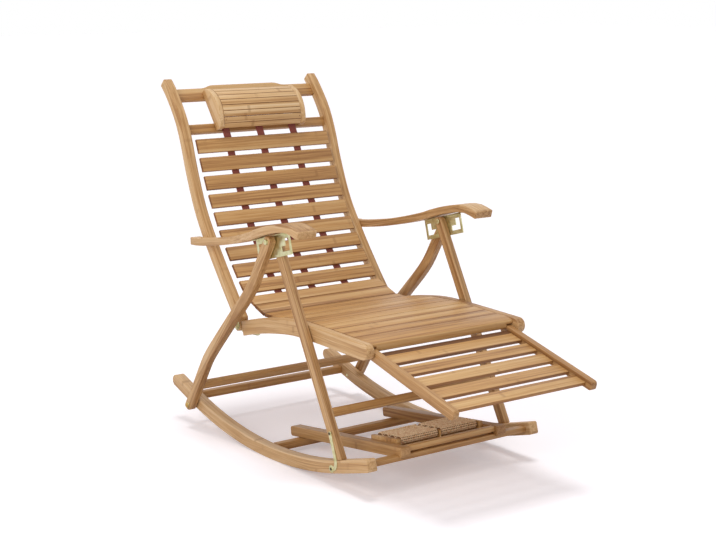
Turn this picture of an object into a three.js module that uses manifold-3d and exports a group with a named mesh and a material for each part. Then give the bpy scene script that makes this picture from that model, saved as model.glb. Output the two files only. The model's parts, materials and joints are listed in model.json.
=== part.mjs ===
// Folding rocking chair in bamboo: rockers, legs, slatted seat and back, arms,
// a footrest that pulls out from under the seat, and a set of foot rollers on the base.
// Millimetres. +X is to the right seen from the front, +Y points to the rear, +Z up.
// Left and right in the names are as seen from the front.
import * as THREE from 'three';
import { mergeVertices } from 'three/addons/utils/BufferGeometryUtils.js';
import Module from 'manifold-3d';

const wasm = await Module();
wasm.setup();

// Clearances
const fit = 0.3;                    // between faces that touch, and round pins
const slideFit = 0.3;               // beside a piece that slides
const overrun = 2;                  // how far a cutter passes the face that it opens

// Stations across the chair, as half widths from the middle plane
const rockerInner = 244;
const rockerWide = 28;
const frontLegWide = 18;
const seatLegGap = 3;               // seat rails and stiles to the front legs
const railWide = 24;
const legGap = 3.5;                 // front legs to rear legs, where the arm brackets run
const rearLegWide = 19.5;
const armInner = 252;
const armWide = 58;
const armTailWide = 30;

// Places of the pivots: back is +Y, up is from the lowest point of the rockers
const legTopBack = -18;
const legTopUp = 570;
const frontFootBack = -287;
const frontFootRise = 13.5;         // above the middle line of the rocker
const seatPivotDrop = 244;          // down the front leg from its top bolt
const hingeBack = 193;
const hingeUp = 316;
const armJointBack = 341;
const armJointUp = 523;
const rearFootBack = 382;
const rearFootSink = 7.2;           // bolt below the middle line of the rocker

// Pins and bolts
const boltRadius = 4;
const bossRadius = 9;
const headRadius = 7.5;
const headThick = 2.6;
const pinDepth = 13;                // how far a pin goes into a blind hole
const pinSides = 20;

// Rockers
const rockerRadius = 1230;
const rockerDeep = 32;
const rockerLowBack = 20;           // station of the lowest point
const rockerFrontBack = -402;
const rockerRearBack = 504;
const rockerArcFront = -305;        // the rockers run straight beyond these stations
const rockerArcRear = 410;
const rockerCorner = 5;
const rockerFacet = THREE.MathUtils.degToRad(2);
const rockerBarSize = 20;
const frontBarTall = 13.4;
const frontBarBack = -378;
const frontBarRise = -0.8;          // bars above the middle line of the rockers
const middleBarBack = 27;
const middleBarRise = 7;
const rearBarBack = 415;
const rearBarRise = -6;

// Rear legs
const rearLegDeep = 28;
const rearLegShares = [[0, 0], [0.0775, 0.089], [0.205, 0.249], [0.29, 0.336], [0.535, 0.534],
  [0.78, 0.731], [0.9, 0.877], [1, 1]];
const rearLegBarRise = 63;          // above the rocker bolt
const rearLegBarDeep = 16;
const rearLegBarTall = 21;

// Front legs
const frontLegDeep = 26;
const frontLegBarRise = 105;        // above the foot
const frontLegBarDeep = 17;
const frontLegBarTall = 21;

// Latches
const latchPivotRise = 71;          // above the foot
const latchWide = 11;
const latchReach = 23;              // the strap's knee, in front of its pivot
const latchDrop = 66;
const latchHookBack = 17;           // from the knee back to the middle of the ring
const latchHookDrop = 21;
const latchRing = 9.5;
const latchThick = 1.6;
const latchHeadRadius = 5;
const latchHeadThick = 1;

// Seat
const railDeep = 39;
const seatReach = 521.5;            // from the rear end to the middle of the nose
const seatRise = 43.5;
const seatEndBack = 23;             // rear end of the rails, in front of the hinge pin
const seatEndDrop = 5;
const seatRailShares = [[0, 0], [0.127, 0.391], [0.268, 0.724], [0.441, 0.989], [0.613, 1],
  [0.872, 0.908], [1, 0.858]];
const seatSlatThick = 9;
const seatSlatCount = 10;
const seatSlatGap = 1.5;
const seatSlatFit = 0.8;            // slat ends to the rails
const bendSlatCount = 2;            // of the seat slats, as short as those of the back
const noseSlatReach = 56;
const noseSlatRadius = 6;
const noseLipDrop = 11;             // of the lip under the nose, between the footrest rails
const webWide = 23;
const webThick = 4;
const webLet = 1.5;                 // how deep the webbing is let into the slats
const webStation = 110;

// Hinge plates
const plateThick = 2;
const plateDeep = 34;
const plateReach = 66;
const plateDrop = 8;                // middle line of the plate below the hinge pin
const hingePinRadius = 5;
const hingeHeadRadius = 13;
const hingeHeadThick = 1.5;

// Back
const stileDeep = 28;
const stileCorner = 5;
const stileReach = 364;
const stileRise = 612;
const stileShares = [[0.033, 0.056], [0.14, 0.131], [0.365, 0.305], [0.527, 0.451], [0.651, 0.621],
  [0.725, 0.752], [0.805, 0.855], [0.926, 0.954], [1, 1]];
const stileFootRadius = 16;
const stileToeBack = 17;            // front corner of the foot, before the hinge pin
const stileToeUp = 23;
const stileHeelBack = 25;
const stileHeelUp = 24;
const slatThick = 8;
const slatWide = 39.5;
const slatPitch = 52.2;
const slatCount = 10;
const slatHalfLong = 217;
const slatLineShares = [[0.706, 0.793], [0.68, 0.757], [0.624, 0.674], [0.569, 0.599], [0.51, 0.523],
  [0.436, 0.447], [0.363, 0.372], [0.282, 0.305], [0.196, 0.239], [0.1, 0.171], [0.014, 0.12],
  [-0.082, 0.095], [-0.165, 0.0784], [-0.247, 0.0645]];
const slatFirstDrop = 21;           // from the top of the slat line to the first slat
const strapWide = 23;
const strapThick = 1.6;
const strapLap = 19;                // over the front of the second rail
const topRailShare = 0.94;          // of the length of the stiles
const topRailTall = 37;
const topRailDeep = 13;
const topRailHump = 9;
const topRailHumpHalf = 138;
const topRailFlatHalf = 100;
const secondRailShare = 0.78;
const secondRailTall = 25;
const secondRailDeep = 17;

// Headrest
const headHalf = 143;
const headSideWide = 15;
const headHeelShare = [-0.3, 0.03];
const headFrontShares = [[-0.34, 0.19], [-0.315, 0.3], [-0.08, 0.45], [0.19, 0.56], [0.5, 0.6],
  [0.8, 0.555], [1.06, 0.43], [1.24, 0.27], [1.28, 0.16]];
const headLap = 21;                 // of the side pieces over the top rail
const headBattenStation = 60;
const headBattenWide = 14;
const headSlatCount = 9;
const headSlatThick = 6;
const headSlatGap = 0.8;

// Arms
const armThick = 20;
const armTailBack = 372;
const armTailUp = 523;
const armReach = 554;
const armRise = 93;
const armShares = [[0, -0.043], [0.072, -0.021], [0.251, 0.134], [0.413, 0.328], [0.572, 0.565],
  [0.647, 0.71], [0.723, 0.839], [0.798, 0.941], [0.861, 1], [0.915, 0.991], [0.98, 0.887]];
const armTaperShares = [0.3, 0.75]; // of the arm's length, where it widens
const armCorner = 2.5;

// Arm brackets
const bracketThick = 2;
const bracketLong = 154;
const bracketTall = 55;
const bracketSlope = THREE.MathUtils.degToRad(15);
const bracketFlange = 15;
const bracketBack = 79;             // rear end of the bracket, behind the leg-top bolt
const bracketTopRise = 13.5;        // top edge above the leg-top bolt
const bracketLipClear = 4;          // lips to the round top of the rear leg
const windowWide = 35;
const windowTall = 31;
const windowEdge = 8;
const windowFoot = 11;              // of the plate below the windows
const windowBlock = 18;

// Footrest
const footSlope = THREE.MathUtils.degToRad(15.2);
const footGlideRadius = 1000;
const footReach = 682.5;            // hinge pin of the back to the middle of the footrest
const footDrop = 16.2;
const footLong = 336;
const footRailDeep = 24;
const footRailCorner = 8;
const footRailInner = 206;
const footRailWide = 18;
const footSlatCount = 5;
const footSlatWide = 41;
const footSlatPitch = 58.2;
const footSlatThick = 8;
const footSlatRecess = 9.5;
const footSlatFirst = 42;           // rear end of the rails to the first slat
const footBarLong = 24;             // bar behind the first slat, joined to it
const footBarTall = 9;
const footBarLap = 6;
const footBarSink = 1;              // below the faces of the slats
const runnerLong = 256;
const runnerDeep = 12;
const runnerLap = 26;               // how far the runners reach along the rails at rest

// Foot roller set
const rollerSideOuter = 167;
const rollerSideWide = 29;
const rollerSideDeep = 26;
const rollerSideCorner = 6;
const rollerSideRear = 70;
const rollerSideFront = -398;
const rollerSideNotch = 7.7;        // how deep the side pieces are let over the front rocker bar
const rollerBarLong = 16;
const rollerBarTall = 14;
const rollerBarInset = 15;          // middle of the bar, from the front ends of the side pieces
const trayRear = -242;
const trayFront = -347;
const trayDeep = 23;
const trayProud = 9;                // of the tray above the side pieces
const trayFloor = 4;
const trayWall = 12;
const trayMiddle = 3;
const axleSink = 6;                 // axles below the top of the tray
const rollerRadius = 12;
const rollerRib = 2.5;
const rollerRibCount = 6;           // on each half of a roller
const rollerSides = 10;
const rollerPitch = 25;
const rollerCount = 4;
const ribFootShare = 0.08;
const ribTopShare = 0.3;
const axleRadius = 3;
const axleLong = 5;
const rollerGap = 1.5;

// Colours and finishes
const bamboo = { color: 0xc99a5b, roughness: 0.5, metalness: 0 };
const bambooDark = { color: 0xa9713a, roughness: 0.5, metalness: 0 };
const zinc = { color: 0xd7dcaa, roughness: 0.35, metalness: 0.8 };
const webbing = { color: 0x6e2d23, roughness: 0.9, metalness: 0 };
const rollerWood = { color: 0xb98a52, roughness: 0.55, metalness: 0 };

// Stations that follow from the widths above
const rockerOuter = rockerInner + rockerWide;
const frontLegInner = rockerOuter - frontLegWide;
const railOuter = frontLegInner - seatLegGap;
const railInner = railOuter - railWide;
const rearLegInner = rockerOuter + legGap;
const rearLegOuter = rearLegInner + rearLegWide;

const sides = [[-1, 'left'], [1, 'right']];
const chair = new THREE.Group();

const spot = (back, up) => new THREE.Vector2(back, up);
const level = spot(1, 0);
const rockerMiddleRadius = rockerRadius - rockerDeep / 2;

// A place over the middle line of the rockers, at a station of the chair.
function aboveRocker(back, rise) {
  const fall = Math.sqrt(rockerMiddleRadius ** 2 - (back - rockerLowBack) ** 2);
  return spot(back, rockerRadius - fall + rise);
}

const legTop = spot(legTopBack, legTopUp);
const frontFoot = aboveRocker(frontFootBack, frontFootRise);
const hinge = spot(hingeBack, hingeUp);
const armJoint = spot(armJointBack, armJointUp);
const frontBar = aboveRocker(frontBarBack, frontBarRise);
const middleBar = aboveRocker(middleBarBack, middleBarRise);
const rearFoot = aboveRocker(rearFootBack, -rearFootSink);

// Adds a named piece to the chair.
function addPiece(name, geometry, finish) {
  const mesh = new THREE.Mesh(geometry, new THREE.MeshStandardMaterial(finish));
  mesh.name = name;
  chair.add(mesh);
  return mesh;
}

// The two stations of a piece on the left (-1) or the right (1), smaller first.
function across(side, inner, outer) {
  return side > 0 ? [inner, outer] : [-outer, -inner];
}

// A side outline, in back and up, made solid between two stations across the chair.
function slab(outline, from, to) {
  const geometry = new THREE.ExtrudeGeometry(new THREE.Shape(outline),
    { depth: to - from, bevelEnabled: false });
  geometry.applyMatrix4(new THREE.Matrix4().makeBasis(
    new THREE.Vector3(0, 1, 0), new THREE.Vector3(0, 0, 1), new THREE.Vector3(1, 0, 0)));
  geometry.translate(from, 0, 0);
  return geometry;
}

// A round pin across the chair.
function pin(radius, centre, from, to) {
  const geometry = new THREE.CylinderGeometry(radius, radius, to - from, pinSides);
  geometry.rotateZ(Math.PI / 2);
  geometry.translate((from + to) / 2, centre.x, centre.y);
  return geometry;
}

function toSolid(geometry) {
  const bare = geometry.clone();
  bare.deleteAttribute('normal');
  bare.deleteAttribute('uv');
  const merged = mergeVertices(bare);
  return new wasm.Manifold(new wasm.Mesh({
    numProp: 3,
    vertProperties: new Float32Array(merged.attributes.position.array),
    triVerts: new Uint32Array(merged.index.array),
  }));
}

function toGeometry(solid) {
  const mesh = solid.getMesh();
  const geometry = new THREE.BufferGeometry();
  geometry.setAttribute('position', new THREE.BufferAttribute(mesh.vertProperties, 3));
  geometry.setIndex(new THREE.BufferAttribute(mesh.triVerts, 1));
  geometry.computeVertexNormals();
  return geometry;
}

function join(first, ...others) {
  return toGeometry(others.reduce((sum, other) => sum.add(toSolid(other)), toSolid(first)));
}

function cut(first, ...others) {
  return toGeometry(others.reduce((rest, other) => rest.subtract(toSolid(other)), toSolid(first)));
}

// A smooth line through shares of a reach and a rise, measured from a start place.
function course(start, reach, rise, shares, steps) {
  const knots = shares.map(([along, up]) => spot(start.x + along * reach, start.y + up * rise));
  return new THREE.SplineCurve(knots).getSpacedPoints(steps);
}

// Unit direction of a line of points at one of them.
function heading(line, index) {
  const before = line[Math.max(index - 1, 0)];
  const after = line[Math.min(index + 1, line.length - 1)];
  return after.clone().sub(before).normalize();
}

// The same line moved sideways: a positive distance goes to the left of its direction.
function offset(line, distance) {
  return line.map((point, index) => {
    const along = heading(line, index);
    return spot(point.x - along.y * distance, point.y + along.x * distance);
  });
}

// Points of a round end, from the left edge of a line to its right edge.
function roundEnd(centre, along, radius, steps) {
  const points = [];
  for (let i = 1; i < steps; i += 1) {
    const turn = Math.PI * i / steps;
    points.push(spot(
      centre.x - along.y * radius * Math.cos(turn) + along.x * radius * Math.sin(turn),
      centre.y + along.x * radius * Math.cos(turn) + along.y * radius * Math.sin(turn)));
  }
  return points;
}

// Points of a blunt end with round corners, from the left edge of a line to its right edge.
function bluntEnd(centre, along, half, corner, steps = 3) {
  const quarter = (way) => {
    const points = [];
    for (let i = 1; i <= steps; i += 1) {
      const turn = Math.PI / 2 * i / steps;
      const aside = way * (half - corner * (1 - Math.cos(turn)));
      const ahead = corner * Math.sin(turn);
      points.push(spot(centre.x + along.x * ahead - along.y * aside,
        centre.y + along.y * ahead + along.x * aside));
    }
    return points;
  };
  return [...quarter(1), ...quarter(-1).reverse()];
}

// Outline of a straight bar between two places, its ends blunt with round corners.
function barOutline(start, finish, deep, corner) {
  const along = finish.clone().sub(start).normalize();
  const line = [start.clone().addScaledVector(along, corner), finish.clone().addScaledVector(along, -corner)];
  return [...offset(line, deep / 2), ...bluntEnd(line[1], along, deep / 2, corner),
    ...offset(line, -deep / 2).reverse(), ...bluntEnd(line[0], along.clone().negate(), deep / 2, corner)];
}

// Outline of a bar of even depth along a line, each end round or flat.
function stripOutline(line, deep, roundStart, roundFinish, steps = 8) {
  const last = line.length - 1;
  const startEnd = roundStart
    ? roundEnd(line[0], heading(line, 0).negate(), deep / 2, steps) : [];
  const finishEnd = roundFinish
    ? roundEnd(line[last], heading(line, last), deep / 2, steps) : [];
  return [...offset(line, deep / 2), ...finishEnd, ...offset(line, -deep / 2).reverse(), ...startEnd];
}

// Outline of a tilted rectangle about its middle.
function blockOutline(centre, along, long, deep) {
  const ahead = along.clone().multiplyScalar(long / 2);
  const aside = spot(-along.y, along.x).multiplyScalar(deep / 2);
  return [
    centre.clone().add(ahead).add(aside),
    centre.clone().sub(ahead).add(aside),
    centre.clone().sub(ahead).sub(aside),
    centre.clone().add(ahead).sub(aside),
  ];
}

// The piece of a line between two distances from its start.
function stretch(line, from, to) {
  const piece = [];
  let travelled = 0;
  for (let i = 0; i < line.length - 1; i += 1) {
    const step = line[i].distanceTo(line[i + 1]);
    const enter = Math.max(from, travelled);
    const leave = Math.min(to, travelled + step);
    if (leave > enter) {
      if (piece.length === 0) piece.push(line[i].clone().lerp(line[i + 1], (enter - travelled) / step));
      piece.push(line[i].clone().lerp(line[i + 1], (leave - travelled) / step));
    }
    travelled += step;
  }
  return piece;
}

function lineLength(line) {
  return line.reduce((sum, point, i) => (i === 0 ? 0 : sum + point.distanceTo(line[i - 1])), 0);
}

// A straight slat that follows a line between two distances, its face on the line.
function slatOnLine(line, from, to, thick, halfLong, sink = 0) {
  const ends = stretch(line, from, to);
  const first = ends[0];
  const last = ends[ends.length - 1];
  const along = last.clone().sub(first).normalize();
  const centre = first.clone().add(last).multiplyScalar(1 / 2)
    .add(spot(along.y, -along.x).multiplyScalar(-sink - thick / 2));
  return slab(blockOutline(centre, along, first.distanceTo(last), thick), -halfLong, halfLong);
}

// Rockers: a slice of a ring, with a flat facet at the lowest point to stand on.
function rockerPoint(radius, turn) {
  return spot(rockerLowBack + radius * Math.sin(turn), rockerRadius - radius * Math.cos(turn));
}

// Middle line of a rocker: an arc with a straight piece at each end.
function rockerLine() {
  const frontTurn = Math.asin((rockerArcFront - rockerLowBack) / rockerMiddleRadius);
  const rearTurn = Math.asin((rockerArcRear - rockerLowBack) / rockerMiddleRadius);
  const turns = [frontTurn];
  for (let i = Math.ceil(frontTurn / rockerFacet); i < rearTurn / rockerFacet - 1; i += 1) {
    turns.push((i + 1 / 2) * rockerFacet);
  }
  turns.push(rearTurn);
  const straight = (turn, back) => {
    const start = rockerPoint(rockerMiddleRadius, turn);
    const along = spot(Math.cos(turn), Math.sin(turn));
    return start.clone().addScaledVector(along, (back - start.x) / along.x);
  };
  return [straight(frontTurn, rockerFrontBack + rockerCorner),
    ...turns.map((turn) => rockerPoint(rockerMiddleRadius, turn)),
    straight(rearTurn, rockerRearBack - rockerDeep / 2)];
}

// The front ends are blunt, the rear ends round.
function makeRockers() {
  const line = rockerLine();
  const last = line.length - 1;
  const outline = [
    ...offset(line, rockerDeep / 2),
    ...roundEnd(line[last], heading(line, last), rockerDeep / 2, 8),
    ...offset(line, -rockerDeep / 2).reverse(),
    ...bluntEnd(line[0], heading(line, 0).negate(), rockerDeep / 2, rockerCorner),
  ];
  for (const [side, label] of sides) {
    const [from, to] = across(side, rockerInner, rockerOuter);
    const hole = pin(boltRadius + fit, rearFoot, from - overrun, to + overrun);
    addPiece(`rocker_${label}`, cut(slab(outline, from, to), hole), bamboo);
  }
}

// Bars between the rockers.
function makeRockerBars() {
  const bars = {
    front: [frontBar, frontBarTall],
    middle: [middleBar, rockerBarSize],
    rear: [aboveRocker(rearBarBack, rearBarRise), rockerBarSize],
  };
  const half = rockerInner - fit;
  for (const [label, [centre, tall]] of Object.entries(bars)) {
    const outline = blockOutline(centre, level, rockerBarSize, tall);
    addPiece(`rocker_bar_${label}`, slab(outline, -half, half), bambooDark);
  }
}

// Rear legs: bent bars outside the rockers. Each carries its two bolts, with a head outside
// and a washer face towards the next piece.
function rearLegLine() {
  return course(rearFoot, legTop.x - rearFoot.x, legTop.y - rearFoot.y, rearLegShares, 26);
}

function makeRearLegs() {
  const outline = stripOutline(rearLegLine(), rearLegDeep, true, true);
  for (const [side, label] of sides) {
    const [from, to] = across(side, rearLegInner, rearLegOuter);
    const bolts = [
      pin(boltRadius, rearFoot, ...across(side, rockerInner + fit, rearLegOuter)),
      pin(bossRadius, rearFoot, ...across(side, rockerOuter + fit, rearLegOuter)),
      pin(headRadius, rearFoot, ...across(side, rearLegInner, rearLegOuter + headThick)),
      pin(boltRadius, legTop, ...across(side, frontLegInner - headThick, rearLegOuter)),
      pin(headRadius, legTop, ...across(side, frontLegInner - fit - headThick, frontLegInner - fit)),
      pin(headRadius, legTop, ...across(side, rearLegInner, rearLegOuter + headThick)),
    ];
    addPiece(`rear_leg_${label}`, join(slab(outline, from, to), ...bolts), bamboo);
  }
}

// A bar between two legs, square to the leg where it meets it.
function legBarOutline(line, rise, tall, deep, forward) {
  const index = line.findIndex((point) => point.y >= line[0].y + rise);
  const along = heading(line, index);
  const share = (line[0].y + rise - line[index - 1].y) / (line[index].y - line[index - 1].y);
  const centre = line[index - 1].clone().lerp(line[index], share)
    .add(spot(-along.y, along.x).multiplyScalar(forward));
  return blockOutline(centre, along, tall, deep);
}

function makeRearLegBar() {
  const half = rearLegInner - fit;
  const outline = legBarOutline(rearLegLine(), rearLegBarRise, rearLegBarTall, rearLegBarDeep, 0);
  addPiece('rear_leg_bar', slab(outline, -half, half), bambooDark);
}

// Front legs: straight bars that stand on the rockers, flush with their outer faces.
// Each has a hole for the leg-top bolt, the seat pin on its inner face and a blind hole for the latch.
function frontLegPoint(drop) {
  const down = frontFoot.clone().sub(legTop).normalize();
  return legTop.clone().addScaledVector(down, drop);
}

const seatPivot = frontLegPoint(seatPivotDrop);

function latchPivot() {
  const up = legTop.clone().sub(frontFoot).normalize();
  return frontFoot.clone().addScaledVector(up, latchPivotRise);
}

function makeFrontLegs() {
  const up = legTop.clone().sub(frontFoot).normalize();
  const sag = rockerRadius * (1 - Math.cos(rockerFacet / 2));
  const soleRadius = rockerRadius - rockerDeep - sag - fit;
  const onRocker = (sideways) => {
    const aside = spot(-up.y, up.x).multiplyScalar(sideways);
    const point = frontFoot.clone().add(aside);
    const centre = spot(rockerLowBack, rockerRadius);
    const reach = point.clone().sub(centre);
    const half = reach.dot(up);
    const step = -half - Math.sqrt(half * half - reach.lengthSq() + soleRadius * soleRadius);
    return point.addScaledVector(up, step);
  };
  const half = frontLegDeep / 2;
  const outline = [
    onRocker(half),
    onRocker(-half),
    legTop.clone().add(spot(up.y, -up.x).multiplyScalar(half)),
    ...roundEnd(legTop, up, half, 10).reverse(),
    legTop.clone().add(spot(-up.y, up.x).multiplyScalar(half)),
  ];
  for (const [side, label] of sides) {
    const [from, to] = across(side, frontLegInner, rockerOuter);
    const body = cut(slab(outline, from, to),
      pin(boltRadius + fit, legTop, from - overrun, to + overrun),
      pin(boltRadius + fit, latchPivot(), ...across(side, rockerOuter - pinDepth, rockerOuter + overrun)));
    const seatPin = pin(boltRadius, seatPivot, ...across(side, railOuter - pinDepth, frontLegInner + fit));
    const washer = pin(bossRadius, seatPivot, ...across(side, railOuter + fit, frontLegInner + fit));
    addPiece(`front_leg_${label}`, join(body, seatPin, washer), bamboo);
  }
}

function makeFrontLegBar() {
  const half = frontLegInner - fit;
  const forward = (frontLegDeep - frontLegBarDeep) / 2;
  const outline = legBarOutline([frontFoot, legTop], frontLegBarRise, frontLegBarTall,
    frontLegBarDeep, forward);
  addPiece('front_leg_bar', slab(outline, -half, half), bambooDark);
}

// Latches: a strap on the front leg that hooks its ring over a screw on the rocker.
function makeLatches() {
  const pivot = latchPivot();
  const knee = pivot.clone().add(spot(-latchReach, -latchDrop));
  const ring = knee.clone().add(spot(latchHookBack, -latchHookDrop));
  const bend = knee.clone().lerp(ring, 1 / 2).add(spot(-latchWide / 2, -latchWide / 2));
  const line = new THREE.SplineCurve([pivot, pivot.clone().lerp(knee, 1 / 2), knee, bend, ring])
    .getSpacedPoints(14);
  for (const [side, label] of sides) {
    const near = rockerOuter + fit;
    const far = near + latchThick;
    const strap = slab(stripOutline(line, latchWide, true, true, 6), ...across(side, near, far));
    const latch = join(strap,
      pin(latchRing, ring, ...across(side, near, far)),
      pin(latchHeadRadius, ring, ...across(side, near, far + latchHeadThick)),
      pin(latchHeadRadius, pivot, ...across(side, near, far + latchHeadThick)),
      pin(boltRadius, pivot, ...across(side, rockerOuter - pinDepth + fit, far)));
    addPiece(`latch_${label}`, latch, zinc);
  }
}

// Seat rails: curved bars with a round nose and a blind hole for the pin of the front leg.
const railStart = spot(hinge.x - seatEndBack, hinge.y - seatEndDrop);

function seatRailLine() {
  return course(railStart, -seatReach, seatRise, seatRailShares, 22);
}

function makeSeatRails() {
  const outline = stripOutline(seatRailLine(), railDeep, false, true, 10);
  for (const [side, label] of sides) {
    const body = slab(outline, ...across(side, railInner, railOuter));
    const hole = pin(boltRadius + fit, seatPivot,
      ...across(side, railOuter - pinDepth - fit, railOuter + overrun));
    addPiece(`seat_rail_${label}`, cut(body, hole), bamboo);
  }
}

// The line of the slats' faces, from the top of the back round the bend to the nose.
function slatLine() {
  const back = slatLineShares.map(([along, up]) => spot(hinge.x + along * stileReach,
    hinge.y + up * stileRise));
  const railTop = offset(seatRailLine(), -railDeep / 2);
  const seat = railTop.filter((point, i) => i >= 6 && i % 3 === 0);
  return new THREE.SplineCurve([...back, ...seat]).getSpacedPoints(110);
}

const slatCourse = slatLine();
const backSlatsEnd = slatFirstDrop + slatPitch * (slatCount - 1) + slatWide;
const noseStart = lineLength(slatCourse) - noseSlatReach + railDeep / 2;

// Seat slats: laid close, tied by webbing underneath.
function makeSeatSlats() {
  const half = railInner - seatSlatFit;
  const from = backSlatsEnd + seatSlatGap;
  const pitch = (noseStart - from) / seatSlatCount;
  const slats = [];
  for (let i = 0; i < seatSlatCount; i += 1) {
    const begin = from + i * pitch;
    slats.push(slatOnLine(slatCourse, begin, begin + pitch - seatSlatGap, seatSlatThick,
      i < bendSlatCount ? slatHalfLong : half));
  }
  const under = offset(stretch(slatCourse, from + seatSlatGap, noseStart - seatSlatGap * 2),
    seatSlatThick - webLet + webThick / 2);
  const thinned = under.filter((point, i) => i % 2 === 0 || i === under.length - 1);
  const webs = [-webStation, 0, webStation].map((station) => slab(
    stripOutline(thinned, webThick, false, false), station - webWide / 2, station + webWide / 2));
  addPiece('seat_slats', join(slats[0], ...slats.slice(1), ...webs), bamboo);
}

// Nose slat: the rounded front edge of the seat, with a lip that hangs down in front.
function makeNoseSlat() {
  const half = railInner - seatSlatFit;
  const total = lineLength(slatCourse);
  const top = stretch(slatCourse, noseStart, total);
  const lowered = offset(top, noseSlatRadius);
  const end = lowered[lowered.length - 1];
  const along = heading(lowered, lowered.length - 1);
  const tip = end.clone().addScaledVector(along, noseSlatReach - (total - noseStart) - noseSlatRadius / 2)
    .add(spot(0, -noseSlatRadius / 2));
  const line = [...lowered.filter((point, i) => i % 2 === 0), tip];
  const lip = stripOutline([tip, tip.clone().add(spot(0, -noseLipDrop))], noseSlatRadius * 2, true, true);
  const lipHalf = footRailInner - slideFit;
  addPiece('nose_slat', join(slab(stripOutline(line, noseSlatRadius * 2, false, true), -half, half),
    slab(lip, -lipHalf, lipHalf)), bamboo);
}

// Hinge plates: on the inner faces of the seat rails. The pin of each goes through the foot of
// the stile and has a wide head outside.
function makeHingePlates() {
  const tail = hinge.clone().add(spot(plateDeep / 4, -plateDrop));
  const front = tail.clone().add(spot(-plateReach, plateDrop / 2));
  const outline = stripOutline([front, tail], plateDeep, true, true);
  for (const [side, label] of sides) {
    const plate = slab(outline, ...across(side, railInner - fit - plateThick, railInner - fit));
    const outside = railOuter + fit + hingeHeadThick;
    const hingePin = pin(hingePinRadius, hinge, ...across(side, railInner - fit - plateThick, outside));
    const head = pin(hingeHeadRadius, hinge, ...across(side, railOuter + fit, outside));
    addPiece(`hinge_plate_${label}`, join(plate, hingePin, head), zinc);
  }
}

// Stiles: curved uprights of the back, their feet round about the hinge pin.
function stileLine() {
  return course(hinge, stileReach, stileRise, stileShares, 28);
}

function stileOutline() {
  const line = stileLine();
  const last = line.length - 1;
  const foot = [];
  for (let i = 0; i <= 8; i += 1) {
    const turn = Math.PI * (1 + i / 8);
    foot.push(spot(hinge.x + stileFootRadius * Math.cos(turn), hinge.y + stileFootRadius * Math.sin(turn)));
  }
  return [
    ...foot,
    spot(hinge.x + stileHeelBack, hinge.y + stileHeelUp),
    ...offset(line, -stileDeep / 2).slice(1),
    ...bluntEnd(line[last], heading(line, last), stileDeep / 2, stileCorner).reverse(),
    ...offset(line, stileDeep / 2).reverse(),
    spot(hinge.x - stileToeBack, hinge.y + stileToeUp),
  ];
}

function makeStiles() {
  for (const [side, label] of sides) {
    const body = slab(stileOutline(), ...across(side, railInner, railOuter));
    const hole = pin(hingePinRadius + fit, hinge, ...across(side, railInner - overrun, railOuter + overrun));
    addPiece(`stile_${label}`, cut(body, hole), bamboo);
  }
}

// Place and direction on a line at a share of its length.
function station(line, share) {
  const at = share * lineLength(line);
  const near = stretch(line, at - lineLength(line) / 60, at + lineLength(line) / 60);
  const middle = stretch(line, 0, at).pop();
  return { middle, along: near[near.length - 1].clone().sub(near[0]).normalize() };
}

// A rail between the stiles, flush with their rear edges. Its outline is drawn across the chair
// and up the back, and made solid towards the sitter.
function crossRail(outline, place, deep) {
  const geometry = new THREE.ExtrudeGeometry(new THREE.Shape(outline),
    { depth: deep, bevelEnabled: false });
  const front = spot(-place.along.y, place.along.x);
  const rear = place.middle.clone().addScaledVector(front, -stileDeep / 2);
  geometry.applyMatrix4(new THREE.Matrix4().makeBasis(
    new THREE.Vector3(1, 0, 0), new THREE.Vector3(0, place.along.x, place.along.y),
    new THREE.Vector3(0, front.x, front.y)));
  geometry.translate(0, rear.x, rear.y);
  return geometry;
}

const topRailPlace = station(stileLine(), topRailShare);
const secondRailPlace = station(stileLine(), secondRailShare);

function makeBackRails() {
  const half = railInner - fit;
  const low = -topRailTall / 2;
  const high = topRailTall / 2;
  const hump = [];
  for (let i = 0; i <= 6; i += 1) {
    const x = topRailHumpHalf + (topRailFlatHalf - topRailHumpHalf) * i / 6;
    hump.push([x, high + topRailHump * (1 - Math.cos(Math.PI * i / 6)) / 2]);
  }
  const top = [
    spot(-half, low), spot(half, low), spot(half, high),
    ...hump.map(([x, y]) => spot(x, y)),
    ...hump.reverse().map(([x, y]) => spot(-x, y)),
    spot(-half, high),
  ];
  addPiece('top_rail', crossRail(top, topRailPlace, topRailDeep), bambooDark);
  const second = blockOutline(spot(0, 0), level, half * 2, secondRailTall);
  addPiece('second_rail', crossRail(second, secondRailPlace, secondRailDeep), bambooDark);
}

// Back slats: ten separate slats, carried by three straps behind them.
function slatSpan(index) {
  const from = slatFirstDrop + index * slatPitch;
  return [from, from + slatWide];
}

function makeBackSlats() {
  for (let i = 0; i < slatCount; i += 1) {
    const [from, to] = slatSpan(i);
    addPiece(`back_slat_${String(i + 1).padStart(2, '0')}`,
      slatOnLine(slatCourse, from, to, slatThick, slatHalfLong), bambooDark);
  }
}

// A point in front of a rail of the back: how far up it, and how far off its face.
function onRailFace(place, deep, rise, off) {
  const front = spot(-place.along.y, place.along.x);
  return place.middle.clone().addScaledVector(front, deep - stileDeep / 2 + off)
    .addScaledVector(place.along, rise);
}

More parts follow.
